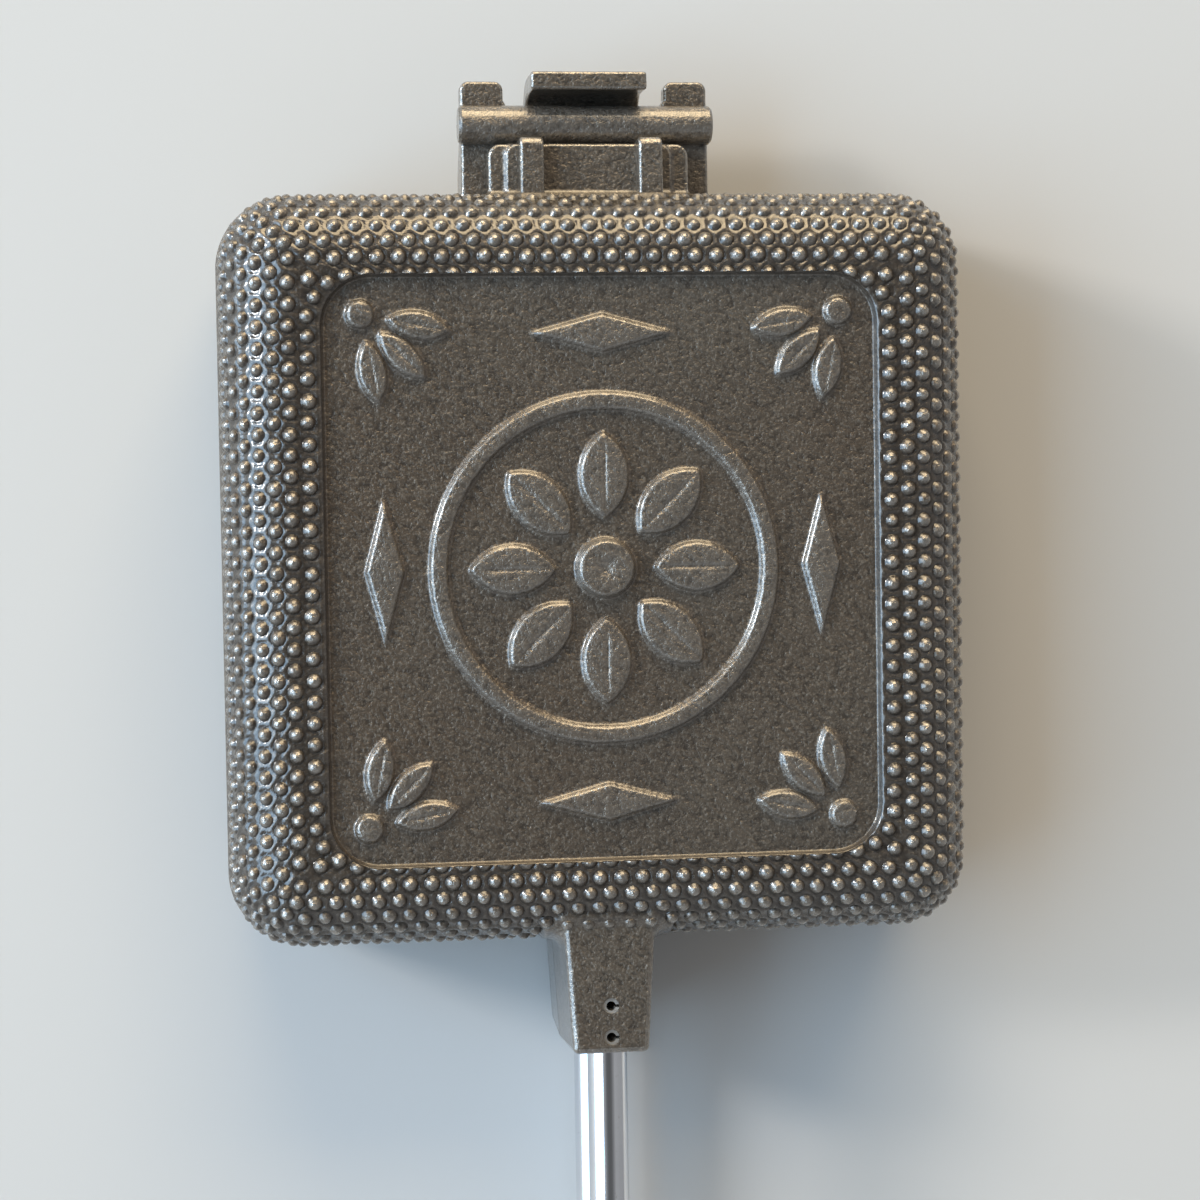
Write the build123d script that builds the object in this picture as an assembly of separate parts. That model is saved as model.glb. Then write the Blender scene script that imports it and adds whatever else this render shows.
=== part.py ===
from build123d import *
import math
import os

# Long-handled camp pie iron: two hinged cast-iron shells on steel rods with wooden
# grips.  Millimetres.  +Z is up, +Y points from the grips to the hinge.  The origin is
# the centre of the flat ring on which the lower shell rests.

# ---------------------------------------------------------------- cast shells
HEAD_SIZE = 133.0            # outside of the square shell at the parting plane
HALF_HEIGHT = 20.0           # resting ring to parting plane
PARTING_GAP = 0.3            # air between the two rims when closed
HEAD_CORNER = 13.0           # plan radius of the outer corners
WALL_DRAFT = 1.5             # degrees, outside walls
DOME_RADIUS = 12.0           # rounding from wall to flat ring
RIM_EDGE = 0.6               # rounding of the outer edge at the parting plane
RIM_LIP = 2.0                # height of the plain lip along the parting plane

BAND_SIDE = 17.5             # studded band, from a side wall to the recessed panel
BAND_END = 15.0              # the same at the hinge and at the socket
PANEL_CORNER = 9.0
PANEL_DEPTH = 2.2
PANEL_DRAFT = 15.0

RIM_WIDTH = 6.5              # flat rim round the food cavity
CAVITY_CORNER = 11.0
CAVITY_DEPTH = 14.0
CAVITY_DRAFT = 12.0
CAVITY_FILLET = 6.0

# ---------------------------------------------------------------- studs on the band
STUD_HEIGHT = 0.9            # from the skin between the studs to their flat tips
STUD_FOOT = 1.4              # radius at the skin
STUD_TIP = 0.9               # radius of the tip
STUD_ROOT = 0.25             # how far each stud goes into the skin
STUD_PITCH = 3.7             # along a row
STUD_ROW_STEP = 3.16         # from row to row, over the dome and down the wall
STUD_ROWS = 9                # the second row stands where the flat ring ends
STUD_FIRST_CORNER = 8.0      # plan radius of the first row, round the panel's corner
CORNER_FACETS = 6            # flat strips of the skin round each corner
PAD_MARGIN = 0.5             # plain skin round the socket and the hinge

# ---------------------------------------------------------------- raised ornament
RELIEF_HEIGHT = 1.2
RELIEF_DRAFT = 20.0
BOSS_RADIUS = 5.5
PETAL_COUNT = 8
PETAL_ROOT = 8.5
PETAL_TIP = 24.0
PETAL_WIDTH = 9.0
RING_INNER = 27.5
RING_WIDTH = 3.4
FAN_INSET = 7.0              # from the panel's edge to the root of each corner fan
FAN_DISC = 2.6
FAN_ROOT = 4.4
FAN_TIP = 16.0
FAN_WIDTH = 5.2
FAN_ANGLES = (-34.0, 0.0, 34.0)
LOZENGE_INSET = 10.5         # from the panel's edge to the middle of each lozenge
LOZENGE_LENGTH = 26.0
LOZENGE_WIDTH = 7.0

# ---------------------------------------------------------------- rod sockets
SOCKET_LENGTH = 20.0
SOCKET_ROOT_WIDTH = 17.0     # at the shell wall
SOCKET_END_WIDTH = 14.6
SOCKET_HEIGHT = 16.5         # from the parting plane
SOCKET_DRAFT = 2.0
SOCKET_ROOT_DEPTH = 5.0      # how far the socket runs into the shell wall
SOCKET_EDGE = 1.2
SOCKET_BLEND = 2.5           # fillet where the socket meets the shell
BORE_DEPTH = 19.0

# ---------------------------------------------------------------- rods and pins
ROD_DIAMETER = 7.1
ROD_LEVEL = 9.6              # rod axis from the parting plane
ROD_CHAMFER = 0.5
SEAT_CLEARANCE = 0.03        # radial, pieces pressed or driven together
ROLL_PIN_DIAMETER = 2.8
ROLL_PIN_BORE = 1.7
ROLL_PIN_SLIT = 0.5
ROLL_PIN_LENGTH = 13.6
ROLL_PIN_RECESS = 0.4        # below the outer face of the socket
ROLL_PIN_END = 3.4           # rear pin from the socket's end
ROLL_PIN_PITCH = 5.6

# ---------------------------------------------------------------- hinge
HINGE_REACH = 12.7           # bar axis from the shell wall
BAR_DIAMETER = 7.0
BAR_LENGTH = 45.8
BAR_CHAMFER = 0.5
ARM_INNER = 14.0             # half the gap between the two arms
ARM_DEPTH = 9.0
ARM_END_DEPTH = 3.4
ARM_SLOPE = 8.0              # length of the slope under each arm, to the bar
EAR_REACH = 8.0              # beyond the bar axis
EAR_INNER = 14.6
EAR_FLARE = 1.2
EAR_TOP = 1.0                # below the bar axis
EAR_THICKNESS = 3.4
EAR_CORNER = 1.6
HINGE_CLEARANCE = 0.35
TONGUE_WIDTH = 36.0
TONGUE_HEIGHT = 4.4
TONGUE_CORNER = 2.2
MID_PLATE_WIDTH = 30.0
MID_PLATE_HEIGHT = 5.0
RIB_PLACE = 10.6             # centre of each rib from the middle
RIB_WIDTH = 4.3
RIB_HEIGHT = 9.0
RIB_OVERHANG = 0.8           # past the end of the tongue, above the bar
RIB_ROUND = 1.4
HOOK_WIDTH = 20.8
HOOK_THICKNESS = 3.2
HOOK_BACK = 5.5              # bar axis to the inside of the hook's tip
HOOK_TIP = 7.0               # height of the tip above the bar axis
CAST_EDGE = 0.6              # rounding of cast edges
HINGE_BLEND = 1.0            # fillet where the hinge parts meet the shell

# ---------------------------------------------------------------- grips
OVERALL_LENGTH = 724.0       # hook tip to the ends of the grips
GRIP_LENGTH = 140.0
GRIP_DIAMETER = 19.0
GRIP_FRONT_DIAMETER = 17.8
GRIP_REAR_DIAMETER = 16.8
GRIP_END_ROUND = 4.0
GRIP_BORE_DEPTH = 70.0
FERRULE_LENGTH = 14.0
FERRULE_WALL = 0.8
FERRULE_DIAMETER = 17.2
GRIP_PIN_DIAMETER = 2.4
GRIP_PIN_PLACE = 7.0         # from the front of the ferrule
GRIP_PIN_PROUD = 0.25

# ---------------------------------------------------------------- latch
LATCH_LEAD = 16.0            # plate centre ahead of the ferrule
LATCH_THICKNESS = 1.6
LATCH_RUNNING = 0.08         # radial clearance on the lower rod
LATCH_SIDE = 0.3             # clearance to each collar
LATCH_HUB = 8.0              # radius round the lower rod
LATCH_LEADING = 7.0          # half widths of the blade
LATCH_TRAILING = 8.4
LATCH_RIM = 4.6              # metal outside the notch
LATCH_NOTCH_CLEARANCE = 0.45
LATCH_TAB_WIDTH = 11.0
LATCH_TAB_LENGTH = 7.0
LATCH_CORNER = 1.5
LATCH_SWING = 90.0           # rest (let go, lying flat) to hooked over the upper rod
COLLAR_DIAMETER = 11.5
COLLAR_WIDTH = 4.0
COLLAR_EDGE = 0.5

# ---------------------------------------------------------------- derived places
PANEL_WIDTH = HEAD_SIZE - 2 * BAND_SIDE
PANEL_LENGTH = HEAD_SIZE - 2 * BAND_END
CAVITY_SIZE = HEAD_SIZE - 2 * RIM_WIDTH
PARTING_Z = HALF_HEIGHT
UPPER_Z = PARTING_Z + PARTING_GAP
AXIS_Z = PARTING_Z + PARTING_GAP / 2
WALL_Y = HEAD_SIZE / 2
HINGE_Y = WALL_Y + HINGE_REACH
ROOT_Y = WALL_Y - SOCKET_ROOT_DEPTH
SOCKET_END_Y = -WALL_Y - SOCKET_LENGTH
ROD_START_Y = SOCKET_END_Y + BORE_DEPTH
LOWER_ROD_Z = PARTING_Z - ROD_LEVEL
UPPER_ROD_Z = UPPER_Z + ROD_LEVEL
ROD_SPACING = UPPER_ROD_Z - LOWER_ROD_Z
GRIP_END_Y = HINGE_Y + HOOK_BACK + HOOK_THICKNESS - OVERALL_LENGTH
GRIP_START_Y = GRIP_END_Y + GRIP_LENGTH
FERRULE_START_Y = GRIP_START_Y + FERRULE_WALL
ROD_END_Y = GRIP_START_Y - GRIP_BORE_DEPTH
GRIP_PIN_Y = FERRULE_START_Y - GRIP_PIN_PLACE
LATCH_Y = FERRULE_START_Y + LATCH_LEAD
ROLL_PIN_YS = (SOCKET_END_Y + ROLL_PIN_END, SOCKET_END_Y + ROLL_PIN_END + ROLL_PIN_PITCH)
TONGUE_END = BAR_DIAMETER / 2 + HINGE_CLEARANCE
DOME_SWEEP = math.radians(90 - WALL_DRAFT)
WALL_LEAN = HALF_HEIGHT * math.tan(math.radians(WALL_DRAFT))
DOME_START = HEAD_SIZE / 2 - WALL_LEAN - DOME_RADIUS * math.tan(DOME_SWEEP / 2)
DOME_LEVEL = HALF_HEIGHT - DOME_RADIUS
CORNER_CENTRE = HEAD_SIZE / 2 - HEAD_CORNER
SPARE = 1.0                  # how far cutting tools run past a face


def rod_along_y(radius, start, end, level):
    """Solid cylinder whose axis runs along Y from start down to end."""
    middle = (start + end) / 2
    return Pos(0, middle, level) * Rot(90, 0, 0) * Cylinder(radius, abs(start - end))


def side_profile(sketch, width, place=0.0):
    """Extrude a Y-Z sketch, drawn from the bar axis, across the width along X."""
    face = Plane((place, HINGE_Y, AXIS_Z), x_dir=(0, 1, 0), z_dir=(1, 0, 0)) * sketch
    return extrude(face, width / 2, both=True)


# ---------------------------------------------------------------- shells
def lens(root, tip, width):
    """Pointed leaf along +X, between two arcs."""
    middle = (root + tip) / 2
    near = ThreePointArc((root, 0), (middle, -width / 2), (tip, 0))
    far = ThreePointArc((tip, 0), (middle, width / 2), (root, 0))
    return make_face(near + far)


def rosette():
    """Ring of leaves inside a round border, in the middle of the panel."""
    leaf = lens(PETAL_ROOT, PETAL_TIP, PETAL_WIDTH)
    shapes = [Rot(0, 0, turn * 360 / PETAL_COUNT) * leaf for turn in range(PETAL_COUNT)]
    shapes.append(Circle(RING_INNER + RING_WIDTH) - Circle(RING_INNER))
    return shapes


def corner_fan(across, along, turn):
    """Three leaves and a disc near one corner of the panel, turned towards its middle."""
    leaf = lens(FAN_ROOT, FAN_TIP, FAN_WIDTH)
    corner_x = across * (PANEL_WIDTH / 2 - FAN_INSET)
    corner_y = along * (PANEL_LENGTH / 2 - FAN_INSET)
    inward = Pos(corner_x, corner_y) * Rot(0, 0, turn)
    return [inward * Circle(FAN_DISC)] + [inward * Rot(0, 0, a) * leaf for a in FAN_ANGLES]


def lozenge(side, turn):
    """Long diamond between two corners, inside the panel's edge whose distance is side."""
    half = LOZENGE_LENGTH / 2
    place = side - LOZENGE_INSET
    points = [(place, -half), (place + LOZENGE_WIDTH / 2, 0)]
    points += [(place, half), (place - LOZENGE_WIDTH / 2, 0)]
    return Rot(0, 0, turn) * make_face(Polyline(points, close=True))


def ornament():
    """Raised shapes of one panel; its middle boss is as high as the flat ring."""
    shapes = rosette()
    for across, along, turn in ((1, 1, 225), (-1, 1, 315), (-1, -1, 45), (1, -1, 135)):
        shapes += corner_fan(across, along, turn)
    for turn in (0, 90, 180, 270):
        side = PANEL_LENGTH / 2 if turn in (90, 270) else PANEL_WIDTH / 2
        shapes.append(lozenge(side, turn))
    floor = HALF_HEIGHT - PANEL_DEPTH
    raised = [extrude(shape, RELIEF_HEIGHT, taper=RELIEF_DRAFT) for shape in shapes]
    raised.append(extrude(Circle(BOSS_RADIUS), PANEL_DEPTH, taper=RELIEF_DRAFT))
    return [Pos(0, 0, floor) * solid for solid in raised]


def shell_block():
    """Domed outside of one shell: parting face at Z 0, flat ring at HALF_HEIGHT."""
    outline = RectangleRounded(HEAD_SIZE, HEAD_SIZE, HEAD_CORNER)
    block = extrude(outline, HALF_HEIGHT, taper=WALL_DRAFT)
    block = fillet(block.faces().sort_by(Axis.Z)[-1].edges(), DOME_RADIUS)
    return fillet(block.faces().sort_by(Axis.Z)[0].edges(), RIM_EDGE)


def section_at(reach):
    """Half width, height and lean of the studs' tips at a distance along the section from
    the beginning of the dome: level, then round the dome, then down the wall."""
    turn = min(max(reach / DOME_RADIUS, 0.0), DOME_SWEEP)
    down = max(reach - DOME_RADIUS * DOME_SWEEP, 0.0)
    wall = math.radians(WALL_DRAFT)
    half = DOME_START + min(reach, 0.0) + DOME_RADIUS * math.sin(turn) + down * math.sin(wall)
    height = HALF_HEIGHT - DOME_RADIUS * (1 - math.cos(turn)) - down * math.cos(wall)
    return half, height, turn


def row_reaches():
    return [STUD_ROW_STEP * (number - 1) for number in range(STUD_ROWS)]


def corner_polygon(half):
    """Square outline with each corner made of flat pieces that touch its round corner."""
    radius = half - CORNER_CENTRE
    step = math.pi / 2 / CORNER_FACETS
    reach = radius / math.cos(step / 2)
    points = []
    for quarter in range(4):
        for piece in range(CORNER_FACETS):
            angle = step * (piece + 0.5)
            corner = CORNER_CENTRE + reach * math.cos(angle), CORNER_CENTRE + reach * math.sin(angle)
            points.append(Vector(*corner).rotate(Axis.Z, 90 * quarter))
    return make_face(Polyline(points, close=True))


def strip_block(lean):
    """Everything below the flat strips whose outward direction leans by that much."""
    level = HALF_HEIGHT - STUD_HEIGHT
    radius = DOME_RADIUS - STUD_HEIGHT
    half = DOME_START + (radius + DOME_LEVEL * math.cos(lean)) / math.sin(lean)
    return extrude(corner_polygon(half), level, taper=90 - math.degrees(lean))


def skin_block():
    """Skin between the studs: one ring of flat strips under each row of the dome."""
    block = strip_block(DOME_SWEEP)
    for lean in [section_at(reach)[2] for reach in row_reaches()]:
        if 0 < lean < DOME_SWEEP:
            block = block & strip_block(lean)
    return block


def pads():
    """Half width, top and side (1 hinge, -1 socket) of the plain places on the skin."""
    socket_half = SOCKET_ROOT_WIDTH / 2 + SOCKET_BLEND + PAD_MARGIN
    hinge_half = BAR_LENGTH / 2 + HINGE_BLEND
    hinge_top = RIB_HEIGHT + HINGE_BLEND + PAD_MARGIN
    return (socket_half, SOCKET_HEIGHT + SOCKET_BLEND / 2, -1), (hinge_half, hinge_top, 1)


def skin_cutter():
    """What is taken off between the studs, above the lip and beside the plain places."""
    size = HEAD_SIZE + 2 * SPARE
    height = HALF_HEIGHT + SPARE - RIM_LIP
    cutter = Pos(0, 0, RIM_LIP + height / 2) * Box(size, size, height) - skin_block()
    for half_width, top, side in pads():
        length = HEAD_SIZE / 2 + 2 * SPARE - DOME_START
        middle = side * (DOME_START + length / 2)
        cutter -= Pos(0, middle, top / 2) * Box(2 * half_width, length, top)
    return cutter


def along_border(half, corner, length):
    """Point and outward angle on a rounded square, at a length from the middle of its right
    side: straight, then a quarter circle, then straight to the middle of the next side."""
    straight = half - corner
    angle = min(max((length - straight) / corner, 0.0), math.pi / 2)
    after = max(length - straight - corner * math.pi / 2, 0.0)
    x = straight + corner * math.cos(angle) - after
    y = min(length, straight) + corner * math.sin(angle)
    return x, y, angle


def quarter_lengths(number, straight, corner):
    """Lengths of one quarter of a row: whole steps along the straight, shifted by half a
    step in every second row, then even steps round the corner to the next side."""
    shift = number % 2 / 2
    count = math.floor(straight / STUD_PITCH - 0.3 - shift)
    side = [(step + shift) * STUD_PITCH for step in range(count + 1)]
    lengths = side + [-length for length in side if length > 0]
    stretch = 2 * (straight - side[-1]) + corner * math.pi / 2
    gaps = max(2, round(stretch / STUD_PITCH))
    return lengths + [side[-1] + stretch * gap / gaps for gap in range(1, gaps)]


def is_free(place):
    """True where a whole stud stands clear of the plain places."""
    for half_width, top, side in pads():
        beside = abs(place.X) > half_width + STUD_FOOT or place.Z > top + STUD_FOOT
        if place.Y * side > CORNER_CENTRE and not beside:
            return False
    return True


def stud(place, lean, turn):
    """Flat-topped cone that stands square to the skin, its tip at the place."""
    slope = (STUD_FOOT - STUD_TIP) / STUD_HEIGHT
    depth = STUD_HEIGHT + STUD_ROOT
    cone = Pos(0, 0, -depth / 2) * Cone(STUD_TIP + slope * depth, STUD_TIP, depth)
    return Pos(place) * Rot(0, 0, turn) * Rot(0, lean, 0) * cone


def studs():
    """All studs of one shell, row by row, each row in four equal quarters."""
    solids = []
    for number, reach in enumerate(row_reaches()):
        half, height, lean = section_at(reach)
        corner = STUD_FIRST_CORNER if number == 0 else half - CORNER_CENTRE
        for length in quarter_lengths(number, half - corner, corner):
            x, y, angle = along_border(half, corner, abs(length))
            sign = -1 if length < 0 else 1
            for quarter in range(4):
                place = Vector(x, sign * y, height).rotate(Axis.Z, 90 * quarter)
                turn = math.degrees(sign * angle) + 90 * quarter
                if is_free(place):
                    solids.append(stud(place, math.degrees(lean), turn))
    return solids


def panel_pocket():
    outline = RectangleRounded(PANEL_WIDTH, PANEL_LENGTH, PANEL_CORNER)
    return Pos(0, 0, HALF_HEIGHT) * extrude(outline, -PANEL_DEPTH, taper=PANEL_DRAFT)


def cavity():
    """Room for the food: drafted pocket with a rounded floor, opening at Z 0."""
    outline = RectangleRounded(CAVITY_SIZE, CAVITY_SIZE, CAVITY_CORNER)
    pocket = extrude(outline, CAVITY_DEPTH, taper=CAVITY_DRAFT)
    return fillet(pocket.faces().sort_by(Axis.Z)[-1].edges(), CAVITY_FILLET)


def socket():
    """Tapered block that holds the rod, from the shell wall to its end."""
    slope = (SOCKET_ROOT_WIDTH - SOCKET_END_WIDTH) / 2 / SOCKET_LENGTH
    buried = SOCKET_ROOT_WIDTH / 2 + slope * SOCKET_ROOT_DEPTH
    end = SOCKET_END_WIDTH / 2
    points = [(-end, SOCKET_END_Y), (end, SOCKET_END_Y), (buried, -ROOT_Y), (-buried, -ROOT_Y)]
    block = extrude(make_face(Polyline(points, close=True)), SOCKET_HEIGHT, taper=SOCKET_DRAFT)
    top = block.faces().sort_by(Axis.Z)[-1].edges()
    upright = block.edges().filter_by(lambda e: e.length > SOCKET_HEIGHT - SPARE)
    upright = upright.filter_by(lambda e: e.center().Z > SPARE and e.center().Y < -WALL_Y)
    sides = top.sort_by(Axis.Y)[:-1]
    return fillet(sides + upright, SOCKET_EDGE)


def bores():
    """Blind hole for the rod and the holes for its two roll pins."""
    radius = ROLL_PIN_DIAMETER / 2 + SEAT_CLEARANCE
    length = SOCKET_HEIGHT + 2 * SPARE
    holes = [Pos(0, y, SOCKET_HEIGHT / 2) * Cylinder(radius, length) for y in ROLL_PIN_YS]
    bore = ROD_DIAMETER / 2 + SEAT_CLEARANCE
    return holes + [rod_along_y(bore, ROD_START_Y, SOCKET_END_Y - SPARE, ROD_LEVEL)]


def placed(shape, outward):
    """Take a shape drawn outwards from Z 0 to the upper (1) or the lower (-1) shell."""
    if outward > 0:
        return Pos(0, 0, UPPER_Z) * shape
    return Pos(0, 0, PARTING_Z) * mirror(shape, about=Plane.XY)


def blended(body, added, radius):
    """Join two shapes with a fillet along the edges where they meet."""
    joined = body + added
    meeting = new_edges(body, added, combined=joined)
    return fillet(meeting, radius)


def cast_half(outward, rooted, carried):
    """Whole casting of one side; rooted hinge parts blend into the wall, carried ones don't."""
    shell = placed(blended(shell_block(), socket(), SOCKET_BLEND), outward)
    for part in rooted:
        shell = blended(shell, part, HINGE_BLEND)
    shell = shell - placed(skin_cutter(), outward)
    shell = shell + carried + [placed(solid, outward) for solid in studs()]
    shell = shell - placed(panel_pocket(), outward) - placed(cavity(), outward)
    shell = shell + [placed(solid, outward) for solid in ornament()]
    return shell - [placed(hole, outward) for hole in bores()]


# ---------------------------------------------------------------- hinge of the lower shell
def hinge_bar():
    bar = Pos(0, HINGE_Y, AXIS_Z) * Rot(0, 90, 0) * Cylinder(BAR_DIAMETER / 2, BAR_LENGTH)
    return chamfer(bar.edges(), BAR_CHAMFER)


def hinge_arm(side):
    """Arm from the shell wall to one end of the bar; side is -1 or 1."""
    root = ROOT_Y - HINGE_Y
    top = PARTING_Z - AXIS_Z
    points = [(root, top), (0, top), (0, -ARM_END_DEPTH), (-ARM_SLOPE, -ARM_DEPTH)]
    points.append((root, -ARM_DEPTH))
    width = BAR_LENGTH / 2 - BAR_CHAMFER - ARM_INNER
    middle = side * (ARM_INNER + width / 2)
    arm = side_profile(make_face(Polyline(points, close=True)), width, middle)
    return fillet(arm.edges(), CAST_EDGE)


def hinge_ear(side):
    """Flat stop behind the bar, flared where it meets the bar; side is -1 or 1."""
    outer = BAR_LENGTH / 2 - BAR_CHAMFER
    far = HINGE_Y + EAR_REACH
    bar_back = HINGE_Y + BAR_DIAMETER / 2
    flared = EAR_INNER - EAR_FLARE
    points = [(outer, HINGE_Y), (outer, far), (EAR_INNER, far), (EAR_INNER, bar_back + EAR_FLARE)]
    points += [(flared, bar_back - EAR_FLARE), (flared, HINGE_Y)]
    plate = extrude(make_face(Polyline(points, close=True)), EAR_THICKNESS)
    plate = fillet(plate.edges().filter_by(Axis.Z).sort_by(Axis.Y)[-2:], EAR_CORNER)
    flat = plate.faces().filter_by(Axis.Z)
    plate = fillet(flat[0].edges() + flat[1].edges(), CAST_EDGE)
    plate = Pos(0, 0, AXIS_Z - EAR_TOP - EAR_THICKNESS) * plate
    return plate if side > 0 else mirror(plate, about=Plane.YZ)


def lower_half():
    """Shell with two arms that carry the hinge bar and its stops."""
    arms = [hinge_arm(-1), hinge_arm(1)]
    return cast_half(-1, arms, [hinge_bar(), hinge_ear(-1), hinge_ear(1)])


# ---------------------------------------------------------------- hinge of the upper shell
def hook():
    """Open loop that goes down before the bar, under it and up behind it."""
    inner = (TONGUE_END + HOOK_BACK) / 2
    outer = inner + HOOK_THICKNESS
    centre = HOOK_BACK - inner
    under = Circle(outer) - Circle(inner) - Pos(0, outer) * Rectangle(3 * outer, 2 * outer)
    back_place = centre + inner + HOOK_THICKNESS / 2
    back = Pos(back_place, HOOK_TIP / 2) * Rectangle(HOOK_THICKNESS, HOOK_TIP)
    front_place = centre - inner - HOOK_THICKNESS / 2
    front = Pos(front_place, TONGUE_HEIGHT / 2) * Rectangle(HOOK_THICKNESS, TONGUE_HEIGHT)
    loop = side_profile(Pos(centre, 0) * under + back + front, HOOK_WIDTH)
    tip = loop.faces().filter_by(Axis.Z).sort_by(Axis.Z)[-1].edges().filter_by(Axis.X)
    sides = loop.faces().filter_by(Axis.X)
    return fillet(tip + sides[0].edges() + sides[1].edges(), CAST_EDGE)


def tongue_plate(width, height):
    """Flat plate from the shell wall to just before the bar, with rounded corners."""
    end = HINGE_Y - TONGUE_END
    plate = Pos(0, (ROOT_Y + end) / 2) * Rectangle(width, end - ROOT_Y)
    solid = Pos(0, 0, UPPER_Z) * extrude(plate, height)
    corners = solid.edges().filter_by(Axis.Z).sort_by(Axis.Y)[-2:]
    solid = fillet(corners, TONGUE_CORNER)
    top = solid.faces().sort_by(Axis.Z)[-1].edges()
    return fillet(top, CAST_EDGE)


def rib(side):
    """Stiffening rib along the tongue; its rounded end reaches over the bar."""
    root = ROOT_Y - HINGE_Y
    base = PARTING_GAP / 2
    lip = TONGUE_END - RIB_OVERHANG
    step = TONGUE_HEIGHT - RIB_OVERHANG
    points = [(root, base), (-TONGUE_END, base), (-TONGUE_END, step), (-lip, TONGUE_HEIGHT)]
    points += [(-lip, RIB_HEIGHT), (root, RIB_HEIGHT)]
    solid = side_profile(make_face(Polyline(points, close=True)), RIB_WIDTH, side * RIB_PLACE)
    end = solid.edges().filter_by(Axis.X).sort_by(Axis.Z)[-2:].sort_by(Axis.Y)[-1]
    solid = fillet(end, RIB_ROUND)
    long_edges = solid.faces().filter_by(Axis.Z).sort_by(Axis.Z)[-1].edges().filter_by(Axis.Y)
    return fillet(long_edges, CAST_EDGE)


def upper_half():
    """Shell with the ribbed tongue and the hook that hangs on the hinge bar."""
    plates = [tongue_plate(TONGUE_WIDTH, TONGUE_HEIGHT)]
    plates.append(tongue_plate(MID_PLATE_WIDTH, MID_PLATE_HEIGHT))
    return cast_half(1, plates, [hook(), rib(-1), rib(1)])


# ---------------------------------------------------------------- rods, pins and grips
def rod(level):
    """Plated steel rod, drilled across for the roll pins and the grip pin."""
    solid = rod_along_y(ROD_DIAMETER / 2, ROD_START_Y, ROD_END_Y, level)
    solid = chamfer(solid.edges(), ROD_CHAMFER)
    pin = ROLL_PIN_DIAMETER / 2 + SEAT_CLEARANCE
    for y in ROLL_PIN_YS:
        solid -= Pos(0, y, level) * Cylinder(pin, ROD_DIAMETER + 2 * SPARE)
    grip_pin = GRIP_PIN_DIAMETER / 2 + SEAT_CLEARANCE
    across = Pos(0, GRIP_PIN_Y, level) * Rot(0, 90, 0)
    return solid - across * Cylinder(grip_pin, ROD_DIAMETER + 2 * SPARE)


def roll_pin(y, outward):
    """Slit spring-steel tube driven in from the outer face of a socket (outward 1 or -1)."""
    tube = Cylinder(ROLL_PIN_DIAMETER / 2, ROLL_PIN_LENGTH)
    tube -= Cylinder(ROLL_PIN_BORE / 2, ROLL_PIN_LENGTH + 2 * SPARE)
    slit = Pos(ROLL_PIN_DIAMETER / 2, 0) * Box(ROLL_PIN_DIAMETER, ROLL_PIN_SLIT, 2 * ROLL_PIN_LENGTH)
    face = UPPER_Z if outward > 0 else PARTING_Z
    depth = SOCKET_HEIGHT - ROLL_PIN_RECESS - ROLL_PIN_LENGTH / 2
    return Pos(0, y, face + outward * depth) * (tube - slit)


def grip(level):
    """Turned wooden grip: ferrule seat, gentle barrel and rounded end."""
    seat = FERRULE_DIAMETER / 2 - FERRULE_WALL - SEAT_CLEARANCE
    shoulder = FERRULE_LENGTH - FERRULE_WALL
    front = GRIP_FRONT_DIAMETER / 2
    rear = GRIP_REAR_DIAMETER / 2
    belly_end = GRIP_LENGTH - GRIP_END_ROUND
    belly = (shoulder + belly_end) / 2
    turn = GRIP_END_ROUND * math.sqrt(0.5)
    outline = Line((0, 0), (seat, 0)) + Line((seat, 0), (seat, shoulder))
    outline += Line((seat, shoulder), (front, shoulder))
    outline += ThreePointArc((front, shoulder), (GRIP_DIAMETER / 2, belly), (rear, belly_end))
    end_middle = (rear - GRIP_END_ROUND + turn, belly_end + turn)
    outline += ThreePointArc((rear, belly_end), end_middle, (rear - GRIP_END_ROUND, GRIP_LENGTH))
    outline += Line((rear - GRIP_END_ROUND, GRIP_LENGTH), (0, GRIP_LENGTH))
    outline += Line((0, GRIP_LENGTH), (0, 0))
    solid = revolve(make_face(outline), Axis.Y)
    solid = Pos(0, GRIP_START_Y, level) * Rot(180, 0, 0) * solid
    solid -= rod_along_y(ROD_DIAMETER / 2 + SEAT_CLEARANCE, GRIP_START_Y + SPARE, ROD_END_Y, level)
    return solid - grip_pin_hole(level)


def grip_pin_hole(level):
    radius = GRIP_PIN_DIAMETER / 2 + SEAT_CLEARANCE
    return Pos(0, GRIP_PIN_Y, level) * Rot(0, 90, 0) * Cylinder(radius, 2 * GRIP_DIAMETER)


def ferrule(level):
    """Drawn metal cup on the front of a grip."""
    radius = FERRULE_DIAMETER / 2
    end = FERRULE_START_Y - FERRULE_LENGTH
    cup = rod_along_y(radius, FERRULE_START_Y, end, level)
    front = cup.faces().sort_by(Axis.Y)[-1].edges()
    cup = fillet(front, FERRULE_WALL)
    cup -= rod_along_y(radius - FERRULE_WALL, GRIP_START_Y, end - SPARE, level)
    hole = ROD_DIAMETER / 2 + SEAT_CLEARANCE
    cup -= rod_along_y(hole, FERRULE_START_Y + SPARE, end, level)
    return cup - grip_pin_hole(level)


def grip_pin(level):
    """Riveted cross pin through ferrule, grip and rod, with softly rounded ends."""
    length = FERRULE_DIAMETER + 2 * GRIP_PIN_PROUD
    pin = Cylinder(GRIP_PIN_DIAMETER / 2, length)
    pin = fillet(pin.edges(), GRIP_PIN_PROUD)
    return Pos(0, GRIP_PIN_Y, level) * Rot(0, 90, 0) * pin


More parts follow.
